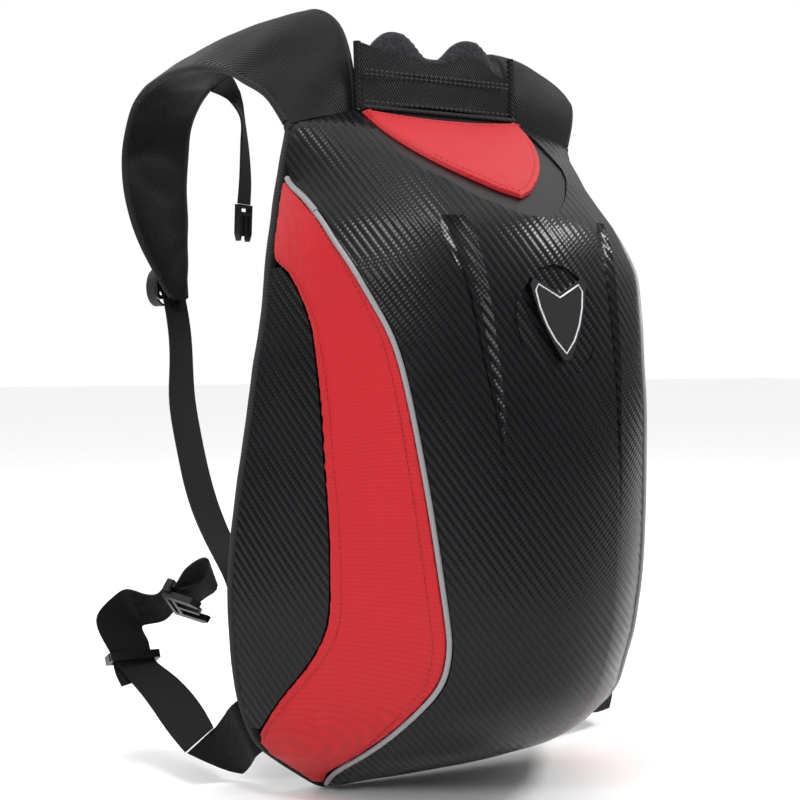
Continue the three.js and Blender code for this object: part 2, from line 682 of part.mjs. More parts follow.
function addSides(label, side) {
  const pipingGap = pipingRadius + clearance;
  const narrowest = 2;
  const redPlaces = modelPlaces.filter((place) => {
    const cut = sectionAt(place);
    return sideLength(cut) > pipingGap + 2 * narrowest;
  });
  const red = redPlaces.map((place) => {
    const cut = sectionAt(place);
    const part = moonPart(cut);
    return sideStrip(cut, side, 0, part, pipingGap, part < 1 ? 2 * clearance : 0, 5);
  });
  const redSolid = toManifold(gridSolid(red, innerGrid(red, sideWall))).subtract(groove(side));
  add(`${label}_red_panel`, fromManifold(redSolid), 'red');

  const ends = [moonLine[0], moonLine[moonLine.length - 1]].map((row) => placeOfHeight(sections, row.height));
  const moonPlaces = [];
  const rows = 26;
  for (let k = 0; k <= rows; k++) {
    moonPlaces.push(ends[0] + ((ends[1] - ends[0]) * k) / rows);
  }
  const moon = moonPlaces.map((place) => sectionAt(place))
    .filter((cut) => (1 - moonPart(cut)) * sideLength(cut) > narrowest)
    .map((cut) => sideStrip(cut, side, moonPart(cut), 1, clearance, 0, 5));
  add(`${label}_side_panel`, gridSolid(moon, innerGrid(moon, sideWall)), 'shell');
}

// The rim as seen from the back, from one shoulder round the bottom to the other
const shoulderPlace = placeOfHeight(sections, 0.945);
function rimOutline() {
  const places = modelPlaces.filter((place) => place < shoulderPlace);
  places.push(shoulderPlace);
  const half = places.map((place) => sectionAt(place));
  const points = half.map((cut) => new THREE.Vector2(cut.rim, hem(cut.rim, cut.height))).reverse();
  const foot = half[0];
  for (const part of [0.66, 0.33, 0, -0.33, -0.66]) {
    const x = foot.rim * part;
    points.push(new THREE.Vector2(x, hem(x, foot.height)));
  }
  for (const cut of half) {
    points.push(new THREE.Vector2(-cut.rim, hem(-cut.rim, cut.height)));
  }
  return points;
}

// Unit vectors out of an outline that runs clockwise from the right shoulder
function outwards(points) {
  return points.map((point, i) => {
    const next = points[Math.min(i + 1, points.length - 1)];
    const before = points[Math.max(i - 1, 0)];
    const along = next.clone().sub(before).normalize();
    return new THREE.Vector2(-along.y, along.x);
  });
}

function addBinding() {
  const outline = rimOutline();
  const normals = outwards(outline);
  const front = rimY + clearance;
  const rear = -bindingRear;
  const round = 1.2;
  const profile = [
    [-bindingGrip, front],
    [bindingReach - round, front],
    [bindingReach, front + round],
    [bindingReach, rear - round],
    [bindingReach - round, rear],
    [-bindingGrip, rear],
  ];
  const loops = outline.map((point, i) => profile.map(([out, y]) => {
    const moved = point.clone().addScaledVector(normals[i], out);
    return new THREE.Vector3(moved.x, y, moved.y);
  }));
  add('edge_binding', loftSolid(loops), 'fabric');
}

// Half outline of the two lobes behind the collar: x of lobeHalfWidth, rise is the share from
// the panel's shoulder up to lobeTop
const lobes = table('x rise', [
  [1, 0.10],
  [0.99, 0.55],
  [0.88, 0.85],
  [0.62, 1],
  [0.34, 0.95],
  [0.11, 0.78],
]);

function addPanel() {
  const outline = rimOutline();
  const normals = outwards(outline);
  const inset = bindingGrip + clearance;
  const edge = outline.map((point, i) => point.clone().addScaledVector(normals[i], -inset));
  const shoulder = edge[0].y;
  const height = lobeTop - shoulder;
  const lobe = lobes.map((row) => new THREE.Vector2(row.x * lobeHalfWidth, shoulder + row.rise * height));
  const shape = new THREE.Shape();
  shape.moveTo(edge[0].x, edge[0].y);
  for (const point of edge.slice(1)) {
    shape.lineTo(point.x, point.y);
  }
  const left = lobe.map((p) => new THREE.Vector2(-p.x, p.y));
  shape.lineTo(left[0].x, left[0].y);
  shape.splineThru([...left.slice(1), new THREE.Vector2(0, lobeNotch), ...lobe.reverse()]);
  const placing = new THREE.Matrix4().makeRotationX(Math.PI / 2);
  add('back_panel', plate(shape, panelThickness, placing, 2), 'mesh');
}

// The collar: x of collarHalfWidth; seam and top above collarSeam and below collarTop, in
// shares of the collar's height; bow is how far it curves forwards, of rimStep
const collarRows = table('x seam top bow', [
  [-1, 0.01, 1, 0],
  [-0.88, 0.02, 0.96, 0.3],
  [-0.58, 0.045, 0.85, 0.8],
  [-0.16, 0.06, 0.80, 1.2],
  [0.12, 0.06, 0.80, 1.2],
  [0.43, 0.05, 0.93, 1],
  [0.60, 0.04, 0.90, 0.8],
  [0.79, 0.02, 0.71, 0.5],
  [1, 0, 0.65, 0],
]);

function addCollar() {
  const height = collarTop - collarSeam;
  const front = rimY - collarWall + 2.5;
  const steps = 16;
  const levels = [0, 0.25, 0.5, 0.75, 1];
  const grid = [];
  for (let k = 0; k <= steps; k++) {
    const row = rowAt(collarRows, (k / steps) * (collarRows.length - 1));
    grid.push(levels.map((level) => {
      const z = collarSeam + height * (row.seam + (row.top - row.seam) * level);
      const bow = row.bow * rimStep * (1 - 0.6 * level);
      return new THREE.Vector3(row.x * collarHalfWidth, front - bow, z);
    }));
  }
  const back = grid.map((row) => row.map((p) => p.clone().add(new THREE.Vector3(0, collarWall, 0))));
  add('collar', gridSolid(grid, back), 'fabric');
}

// A band through rows of two edge points, thick in the middle and thin at the edges
function band(rows, thickness, edge, archHeight, shares) {
  const across = rows.map((row) => row.b.clone().sub(row.a));
  const middles = rows.map((row) => row.a.clone().add(row.b).multiplyScalar(0.5));
  const sides = [1, -1].map((face) => rows.map((row, i) => {
    const next = middles[Math.min(i + 1, rows.length - 1)];
    const along = next.clone().sub(middles[Math.max(i - 1, 0)]);
    const normal = along.cross(across[i]).normalize();
    return shares.map((share) => {
      const crown = 4 * share * (1 - share);
      const half = (edge + (thickness - edge) * Math.sqrt(crown)) / 2;
      const lift = archHeight * row.arch * crown + face * half;
      return row.a.clone().addScaledVector(across[i], share).addScaledVector(normal, lift);
    });
  }));
  return gridSolid(sides[0], sides[1]);
}

function strapPoint(x, y, z) {
  return new THREE.Vector3(x * halfWidth, y * strapReach, z * halfHeight);
}

function addStrap(label, rows, side) {
  const steps = 2 * (rows.length - 1);
  const stations = [];
  for (let k = 0; k <= steps; k++) {
    const row = rowAt(rows, k / 2);
    const neck = strapPoint(row.neckX, row.neckY, row.neckZ);
    const arm = strapPoint(row.armX, row.armY, row.armZ);
    stations.push({ a: neck, b: arm, arch: -side * row.arch });
  }
  const shares = [0, 0.1, 0.3, 0.5, 0.7, 0.9, 1];
  add(`${label}_strap`, band(stations, strapThickness, strapEdge, strapArch, shares), 'fabric');
}

// Both edges at a place in a webbing table, mirrored for the right
function edgesAt(rows, side, place) {
  const row = rowAt(rows, place);
  const a = strapPoint(-side * row.aX, row.aY, row.aZ);
  const b = strapPoint(-side * row.bX, row.bY, row.bZ);
  return { a, b, arch: 0 };
}

function webbingRows(rows, side, perRow) {
  const steps = perRow * (rows.length - 1);
  const stations = [];
  for (let k = 0; k <= steps; k++) {
    stations.push(edgesAt(rows, side, k / perRow));
  }
  return stations;
}

function webbing(stations) {
  return band(stations, webbingThickness, webbingThickness, 0, [0, 0.5, 1]);
}

// Frame at a point: x along the piece's width, y along its length, z out of its face
function frameAt(origin, width, length) {
  const x = width.clone().normalize();
  const z = x.clone().cross(length).normalize();
  const y = z.clone().cross(x);
  return new THREE.Matrix4().makeBasis(x, y, z).setPosition(origin);
}

// Rectangle with round corners
function roundedRectangle(width, height, corner, centreX = 0, centreY = 0) {
  const [x, y] = [width / 2 - corner, height / 2 - corner];
  const shape = new THREE.Shape();
  shape.absarc(centreX + x, centreY - y, corner, -Math.PI / 2, 0);
  shape.absarc(centreX + x, centreY + y, corner, 0, Math.PI / 2);
  shape.absarc(centreX - x, centreY + y, corner, Math.PI / 2, Math.PI);
  shape.absarc(centreX - x, centreY - y, corner, Math.PI, 1.5 * Math.PI);
  return shape;
}

// Rows of webbing threaded through a plate's frame, from points given as along, out
function threadedRows(placing, width, points) {
  return points.map(([along, out]) => ({
    a: new THREE.Vector3(-width / 2, along, out).applyMatrix4(placing),
    b: new THREE.Vector3(width / 2, along, out).applyMatrix4(placing),
    arch: 0,
  }));
}

const lockLength = 22;
const lockThickness = 4;
const lockBar = 4;
const lockWindow = 6;
const lockWidth = tailWidth + 2 * lockBar;
const curlWidth = 17;
const curlHeight = 32;
const curlBehind = 14.9;
const threadRise = lockThickness / 2 + webbingThickness / 2 + 2 * clearance;

// Moulded plate of a flat shape, half of it on either side of the shape's plane
function extruded(shape, depth) {
  const geometry = new THREE.ExtrudeGeometry(shape, { depth, bevelEnabled: false, curveSegments: 2 });
  return geometry.translate(0, 0, -depth / 2);
}

// Plate with two windows and a bar between them
function ladderLock(width) {
  const shape = roundedRectangle(width, lockLength, 2);
  for (const centre of [-(lockBar + lockWindow) / 2, (lockBar + lockWindow) / 2]) {
    shape.holes.push(roundedRectangle(width - lockBar, lockWindow, 0.8, 0, centre));
  }
  return extruded(shape, lockThickness);
}

// The adjuster behind the strap's end, the webbing from it to the panel and its curled free end
function addTail(label, side, strapRows) {
  const end = strapRows[strapRows.length - 2];
  const neck = strapPoint(end.neckX, end.neckY, end.neckZ);
  const arm = strapPoint(end.armX, end.armY, end.armZ);
  const stations = webbingRows(strapTail, side, 1);
  const start = stations[0].a.clone().add(stations[0].b).multiplyScalar(0.5);
  const behind = (strapThickness + lockThickness) / 2 + 3.8 * webbingThickness + 2 * clearance;
  const centre = neck.clone().add(arm).multiplyScalar(0.5).add(new THREE.Vector3(0, behind, 0));
  centre.x = start.x;
  const up = new THREE.Vector3(0, 0.12, 1);
  const placing = frameAt(centre, new THREE.Vector3(1, 0, 0), up);
  add(`${label}_adjuster`, ladderLock(lockWidth).applyMatrix4(placing), 'buckle');

  const window = (lockBar + lockWindow) / 2;
  const points = [[window + 6, threadRise], [window + 2, threadRise], [window, 0], [window - 2, -threadRise],
    [-window + 2, -threadRise], [-window, 0], [-window - 2, threadRise]];
  const threaded = threadedRows(placing, tailWidth, points);
  add(`${label}_strap_tail`, webbing([...threaded, ...stations]), 'webbing');

  const middle = centre.clone().add(new THREE.Vector3(side * curlWidth / 4, curlBehind, 0));
  const turns = 20;
  const curl = Array.from({ length: turns + 1 }, (_, k) => {
    const angle = THREE.MathUtils.degToRad(-20 + (310 * k) / turns);
    const x = middle.x - (side * curlWidth * Math.cos(angle)) / 2;
    const z = middle.z + (curlHeight * Math.sin(angle)) / 2;
    const half = tailWidth / 2;
    const [a, b] = [middle.y - half, middle.y + half].map((y) => new THREE.Vector3(x, y, z));
    return { a, b, arch: 0 };
  });
  add(`${label}_tail_end`, webbing(curl), 'webbing');
}

const socketLength = 34;
const socketWidth = 24;
const plugBase = 9;
const plugProng = 21;
const plugThickness = 0.7 * buckleThickness;

// Female half of a side-release buckle, with a window at each side
function socket() {
  const shape = roundedRectangle(socketWidth, socketLength, 3);
  for (const x of [-socketWidth / 4, socketWidth / 4]) {
    shape.holes.push(roundedRectangle(6, 15, 1, x, -3));
  }
  return extruded(shape, buckleThickness);
}

// Male half: a base for the webbing, two side prongs and a middle guide
function plug(width) {
  const [x, base, prong] = [width / 2, plugBase, plugProng];
  const half = [[0.12 * x, base + 0.8 * prong], [0.12 * x, base], [0.66 * x, base],
    [0.6 * x, base + 0.9 * prong], [0.72 * x, base + prong], [x, base + 0.7 * prong], [x, 0]];
  const mirrored = half.map(([px, py]) => [-px, py]).reverse();
  const shape = polygon([...half, ...mirrored]);
  const [slotX, slotLow, slotHigh] = [0.7 * x, base / 3, 2 * base / 3];
  shape.holes.push(polygon([[-slotX, slotLow], [slotX, slotLow], [slotX, slotHigh], [-slotX, slotHigh]]));
  return extruded(shape, plugThickness);
}

// Middle, width and direction at the end of a run of webbing
function endOf(stations) {
  const last = stations[stations.length - 1];
  const before = stations[stations.length - 2];
  const middle = last.a.clone().add(last.b).multiplyScalar(0.5);
  const earlier = before.a.clone().add(before.b).multiplyScalar(0.5);
  return { middle, width: last.b.clone().sub(last.a), along: middle.clone().sub(earlier).normalize() };
}

// Frame for a buckle whose middle lies this far past the end of its webbing
function endPlacing(end, reach) {
  const shift = new THREE.Matrix4().makeTranslation(0, reach + 2 * clearance, 0);
  return frameAt(end.middle, end.width, end.along).multiply(shift);
}

function addChestStrap(label, side, drop, buckleName, buckle, reach) {
  const stations = webbingRows(chestWebbing, side, 2);
  stations.forEach((row) => [row.a, row.b].forEach((point) => point.add(new THREE.Vector3(0, 0, -drop))));
  add(`${label}_chest_strap`, webbing(stations), 'webbing');
  const end = endOf(stations);
  add(buckleName, buckle.applyMatrix4(endPlacing(end, reach)), 'buckle');
}

const sliderPlace = 3.5; // where the slider sits, in rows of the belt's run
const sliderLength = 6;
const sliderFrame = 3.4;
const sliderOpening = 5 * webbingThickness;
const buckleOpening = 3.4 * webbingThickness;

// Flat ring that the belt runs through
function beltRing(width, opening, length) {
  const shape = roundedRectangle(width + 2 * sliderFrame, opening + 1.2 * sliderFrame, 2);
  shape.holes.push(roundedRectangle(width, opening, 0.5));
  return extruded(shape, length).rotateX(-Math.PI / 2);
}

// The free end of the belt, behind its run and a little aside
function beltEndRows(runRows, side, first) {
  return beltEnd.map((row) => {
    const [here, ahead] = [0, 0.2].map((step) => edgesAt(runRows, side, first + row.place + step));
    const width = here.b.clone().sub(here.a);
    const out = width.clone().cross(ahead.a.sub(here.a)).normalize();
    const shift = out.multiplyScalar(Math.sign(out.y) * row.behind * webbingThickness);
    shift.addScaledVector(width, row.aside);
    return { a: here.a.clone().add(shift), b: here.b.clone().add(shift), arch: 0 };
  });
}

function addBelt(label, side, rootRows, runRows) {
  add(`${label}_belt_root`, webbing(webbingRows(rootRows, side, 2)), 'webbing');
  add(`${label}_belt`, webbing(webbingRows(runRows, side, 2)), 'webbing');
  const first = runRows.length - leftBeltRun.length;
  add(`${label}_belt_end`, webbing(beltEndRows(runRows, side, first)), 'webbing');
  const [here, ahead] = [0, 0.2].map((step) => edgesAt(runRows, side, first + sliderPlace + step));
  const middle = here.a.clone().add(here.b).multiplyScalar(0.5);
  const placing = frameAt(middle, here.b.clone().sub(here.a), ahead.a.sub(here.a));
  const ring = beltRing(here.a.distanceTo(here.b) + sliderFrame, sliderOpening, sliderLength);
  add(`${label}_belt_slider`, ring.applyMatrix4(placing), 'buckle');
}

// The ring of the belt's buckle on the left, as the two far corners of its opening, and the way
// its prongs point
const buckleCorners = table('x y z', [
  [-1.079, 0.254, -0.415],
  [-0.960, 0.327, -0.501],
]);
const buckleWay = new THREE.Vector3(0.47, -0.87, -0.11);
const buckleRing = 5;

// A buckle half: the ring that its belt runs through, with the plate joined on below it
function addBeltBuckle(name, buckle, thickness, side, reach) {
  const [a, b] = buckleCorners.map((row) => strapPoint(-side * row.x, row.y, row.z));
  const way = new THREE.Vector3(-side * buckleWay.x, buckleWay.y, buckleWay.z);
  const placing = frameAt(a.clone().add(b).multiplyScalar(0.5), b.clone().sub(a), way);
  const down = -Math.sign(placing.elements[10]);
  const grip = 0.5;
  const lift = down * ((buckleOpening + thickness) / 2 + grip);
  const joined = toManifold(beltRing(a.distanceTo(b) - 0.7 * sliderFrame, buckleOpening, buckleRing))
    .add(toManifold(buckle.translate(0, reach - buckleRing / 2, lift)));
  add(name, fromManifold(joined).applyMatrix4(placing), 'buckle');
}

addShell();
addFacet();
addFlap();
addBadge();
for (const [label, side] of [['left', -1], ['right', 1]]) {
  addSides(label, side);
  addPiping(label, side);
}
addBinding();
addPanel();
addCollar();
addStrap('left', leftStrap, -1);
addStrap('right', rightStrap, 1);
addTail('left', -1, leftStrap);
addTail('right', 1, rightStrap);
addChestStrap('left', -1, 0, 'chest_buckle_plug', plug(0.8 * socketWidth), 0);
addChestStrap('right', 1, rightStrapDrop, 'chest_buckle_socket', socket(), socketLength / 2);
addBelt('left', -1, leftBeltRoot, leftBeltRun);
addBelt('right', 1, rightBeltRoot, rightBeltRun);
addBeltBuckle('belt_buckle_plug', plug(beltWidth), plugThickness, -1, 0);
addBeltBuckle('belt_buckle_socket', socket(), buckleThickness, 1, socketLength / 2);

export default backpack;
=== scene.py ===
"""Hard shell backpack: looks of every piece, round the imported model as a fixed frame.

Metres, +Z up, +X to the right of someone who faces the shell, -Y out of the shell.
"""

import json
import logging
import math
from dataclasses import dataclass
from enum import Enum
from typing import Callable, Sequence

import bmesh
import bpy
import numpy as np
from mathutils import Matrix, Vector, noise
from mathutils.kdtree import KDTree

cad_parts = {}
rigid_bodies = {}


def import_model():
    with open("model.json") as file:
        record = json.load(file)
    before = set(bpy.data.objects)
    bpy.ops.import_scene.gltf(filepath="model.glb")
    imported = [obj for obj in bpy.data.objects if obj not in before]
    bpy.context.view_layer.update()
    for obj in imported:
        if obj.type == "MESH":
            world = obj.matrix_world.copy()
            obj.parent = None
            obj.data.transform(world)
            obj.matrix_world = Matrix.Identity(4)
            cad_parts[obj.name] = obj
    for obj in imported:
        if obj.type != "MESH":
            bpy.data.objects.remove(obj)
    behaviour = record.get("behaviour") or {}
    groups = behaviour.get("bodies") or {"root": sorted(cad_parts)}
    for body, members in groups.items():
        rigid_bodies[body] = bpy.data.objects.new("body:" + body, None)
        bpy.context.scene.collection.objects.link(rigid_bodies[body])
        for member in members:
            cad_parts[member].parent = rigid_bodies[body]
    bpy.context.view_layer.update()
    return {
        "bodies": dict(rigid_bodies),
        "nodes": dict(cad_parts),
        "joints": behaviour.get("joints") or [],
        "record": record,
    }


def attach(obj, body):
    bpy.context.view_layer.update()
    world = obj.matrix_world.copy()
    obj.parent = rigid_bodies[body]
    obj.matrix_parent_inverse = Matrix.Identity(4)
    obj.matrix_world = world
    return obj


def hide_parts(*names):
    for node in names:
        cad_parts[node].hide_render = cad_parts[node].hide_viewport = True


LOG = logging.getLogger("backpack")
MM = 0.001

# Driving sizes of the shell and the straps, in millimetres
HALF_HEIGHT = 235.0
HALF_WIDTH = 162.5
SHELL_DEPTH = 167.0
STRAP_REACH = 260.0
RIM_Y = -16.0
SIDE_BULGE = 10.0
HEM_RISE = 0.08
FACET_SLOPE = math.radians(33.3)
FACET_TOP = 237.0
FACET_TOP_DEPTH = 21.0
FLAP_HALF_WIDTH = 65.4
FLAP_LENGTH = 119.7
FLAP_DIP = 8.0
BADGE_CENTRE = 90.0
BADGE_SEAT_DEPTH = 147.0
BADGE_TILT = math.radians(11.5)
BADGE_THICKNESS = 4.0
STRAP_THICKNESS = 8.0
STRAP_EDGE = 3.0
STRAP_ARCH = 14.0

# Shares: height of HALF_HEIGHT, rim and edge of HALF_WIDTH, edge depth and crown of SHELL_DEPTH,
# and the power of the front's arch
SECTIONS = (
    (-0.974, 0.542, 0.535, 0.000, 0.000, 2.2),
    (-0.970, 0.578, 0.566, 0.024, 0.072, 2.2),
    (-0.953, 0.628, 0.591, 0.054, 0.192, 2.2),
    (-0.919, 0.702, 0.597, 0.108, 0.347, 2.2),
    (-0.860, 0.837, 0.578, 0.287, 0.557, 2.2),
    (-0.796, 0.911, 0.542, 0.443, 0.707, 2.2),
    (-0.736, 0.948, 0.517, 0.563, 0.808, 2.2),
    (-0.681, 0.966, 0.492, 0.653, 0.880, 2.1),
    (-0.638, 0.975, 0.465, 0.707, 0.916, 2.1),
    (-0.591, 0.985, 0.449, 0.749, 0.946, 2.1),
    (-0.502, 0.994, 0.454, 0.796, 0.979, 2.1),
    (-0.421, 1.000, 0.470, 0.802, 0.994, 2.1),
    (-0.338, 0.997, 0.490, 0.802, 1.000, 2.1),
    (-0.179, 0.975, 0.519, 0.784, 0.994, 2.1),
    (-0.017, 0.938, 0.548, 0.754, 0.979, 2.1),
    (0.140, 0.902, 0.578, 0.719, 0.955, 2.1),
    (0.268, 0.877, 0.601, 0.674, 0.931, 2.1),
    (0.357, 0.849, 0.631, 0.632, 0.907, 2.1),
    (0.451, 0.833, 0.677, 0.560, 0.880, 2.1),
    (0.528, 0.825, 0.714, 0.497, 0.853, 2.1),
    (0.600, 0.812, 0.738, 0.401, 0.823, 2.1),
    (0.672, 0.797, 0.751, 0.299, 0.766, 2.2),
    (0.732, 0.785, 0.757, 0.180, 0.659, 2.5),
    (0.791, 0.769, 0.757, 0.036, 0.557, 3.0),
    (0.851, 0.754, 0.754, 0.000, 0.431, 3.4),
    (0.902, 0.738, 0.738, 0.000, 0.311, 3.6),
    (0.945, 0.726, 0.726, 0.000, 0.210, 3.8),
    (0.968, 0.689, 0.689, 0.000, 0.150, 4.0),
    (0.991, 0.566, 0.566, 0.000, 0.084, 4.6),
    (1.021, 0.418, 0.418, 0.000, 0.036, 4.6),
)

# Where the red panel gives way to the half-moon: height, share of the side's curve from the piping
MOON_LINE = (
    (-0.82, 1.00),
    (-0.78, 0.915),
    (-0.73, 0.815),
    (-0.63, 0.687),
    (-0.54, 0.589),
    (-0.45, 0.530),
    (-0.36, 0.509),
    (-0.20, 0.502),
    (-0.03, 0.518),
    (0.22, 0.545),
    (0.39, 0.586),
    (0.47, 0.660),
    (0.52, 0.750),
    (0.556, 0.930),
    (0.58, 1.00),
)

# Edges of the shoulder straps: x, y and z of the neck's edge and of the arm's edge, and the arch
LEFT_STRAP = (
    (-0.408, -0.044, 1.010, -0.735, -0.043, 0.955, 0),
    (-0.406, -0.035, 1.130, -0.763, 0.040, 1.055, 0.1),
    (-0.406, 0.008, 1.243, -0.782, 0.162, 1.119, 0.2),
    (-0.412, 0.058, 1.306, -0.794, 0.242, 1.157, 0.25),
    (-0.425, 0.138, 1.349, -0.806, 0.354, 1.187, 0.25),
    (-0.443, 0.231, 1.354, -0.825, 0.454, 1.204, 0.25),
    (-0.462, 0.346, 1.345, -0.831, 0.538, 1.209, 0.25),
    (-0.474, 0.462, 1.320, -0.837, 0.596, 1.211, 0.25),
    (-0.480, 0.569, 1.298, -0.837, 0.662, 1.209, 0.3),
    (-0.486, 0.673, 1.251, -0.837, 0.731, 1.204, 0.35),
    (-0.492, 0.796, 1.217, -0.837, 0.815, 1.189, 0.35),
    (-0.492, 0.892, 1.170, -0.837, 0.908, 1.145, 0.3),
    (-0.492, 0.962, 1.098, -0.837, 0.969, 1.064, 0.3),
    (-0.492, 0.985, 1.000, -0.837, 0.996, 0.979, 0.3),
    (-0.498, 0.992, 0.885, -0.837, 0.981, 0.872, 0.3),
    (-0.492, 0.992, 0.774, -0.818, 0.954, 0.766, 0.3),
    (-0.498, 0.988, 0.690, -0.775, 0.946, 0.681, 0.25),
    (-0.508, 0.969, 0.610, -0.714, 0.950, 0.605, 0.2),
    (-0.526, 0.950, 0.534, -0.652, 0.954, 0.534, 0.14),
    (-0.530, 0.946, 0.475, -0.603, 0.948, 0.485, 0.1),
)
RIGHT_STRAP = (
    (0.408, -0.044, 1.010, 0.735, -0.043, 0.955, 0),
    (0.406, -0.040, 1.120, 0.800, -0.012, 1.050, 0.1),
    (0.406, -0.012, 1.205, 0.850, 0.035, 1.115, 0.2),
    (0.412, 0.035, 1.245, 0.865, 0.100, 1.140, 0.25),
    (0.425, 0.115, 1.260, 0.860, 0.190, 1.150, 0.25),
    (0.443, 0.231, 1.262, 0.850, 0.320, 1.150, 0.25),
    (0.462, 0.346, 1.250, 0.840, 0.440, 1.150, 0.25),
    (0.474, 0.462, 1.235, 0.837, 0.540, 1.150, 0.25),
    (0.480, 0.569, 1.220, 0.837, 0.640, 1.150, 0.3),
    (0.486, 0.690, 1.200, 0.837, 0.731, 1.145, 0.35),
    (0.492, 0.810, 1.165, 0.837, 0.830, 1.125, 0.35),
    (0.492, 0.900, 1.110, 0.837, 0.915, 1.080, 0.3),
    (0.492, 0.962, 1.030, 0.837, 0.969, 1.010, 0.3),
    (0.492, 0.985, 0.950, 0.837, 0.990, 0.930, 0.3),
    (0.498, 0.992, 0.865, 0.837, 0.981, 0.850, 0.3),
    (0.492, 0.992, 0.774, 0.818, 0.954, 0.766, 0.3),
    (0.498, 0.988, 0.690, 0.775, 0.946, 0.681, 0.25),
    (0.508, 0.969, 0.610, 0.714, 0.950, 0.605, 0.2),
    (0.526, 0.950, 0.534, 0.652, 0.954, 0.534, 0.14),
    (0.530, 0.946, 0.475, 0.603, 0.948, 0.485, 0.1),
)

# Half outline of the flap: x of FLAP_HALF_WIDTH, down of FLAP_LENGTH
FLAP_OUTLINE = (
    (1, 0),
    (0.954, 0.234),
    (0.801, 0.476),
    (0.550, 0.702),
    (0.226, 0.911),
    (0.084, 0.969),
)


def linear(hex_colour: str) -> tuple[float, float, float, float]:
    """Linear colour with full alpha.

    Args:
        hex_colour: an sRGB colour such as "d8202a".

    Returns:
        Red, green, blue and alpha for a shader's socket.
    """
    parts = [int(hex_colour[i:i + 2], 16) / 255 for i in (0, 2, 4)]
    return (*[c / 12.92 if c <= 0.04045 else ((c + 0.055) / 1.055) ** 2.4 for c in parts], 1.0)


def add_node(tree: bpy.types.NodeTree, kind: str, settings: dict | None = None,
             values: dict | None = None, links: dict | None = None) -> bpy.types.Node:
    """A node with its settings and links.

    Args:
        tree: the material's node tree.
        kind: the node's type name.
        settings: attributes of the node.
        values: constant values by input.
        links: output sockets by input.

    Returns:
        The new node.
    """
    node = tree.nodes.new(kind)
    for name, value in (settings or {}).items():
        setattr(node, name, value)
    for name, value in (values or {}).items():
        node.inputs[name].default_value = value
    for name, socket in (links or {}).items():
        tree.links.new(socket, node.inputs[name])
    return node


class Pattern(Enum):
    """How a surface was made, as far as it shows."""

    TWILL = "embossed diagonal ribs"
    RIBS = "fine ribs"
    WEAVE = "plain weave"
    MESH = "knitted spacer mesh"
    GRAIN = "fine grain"


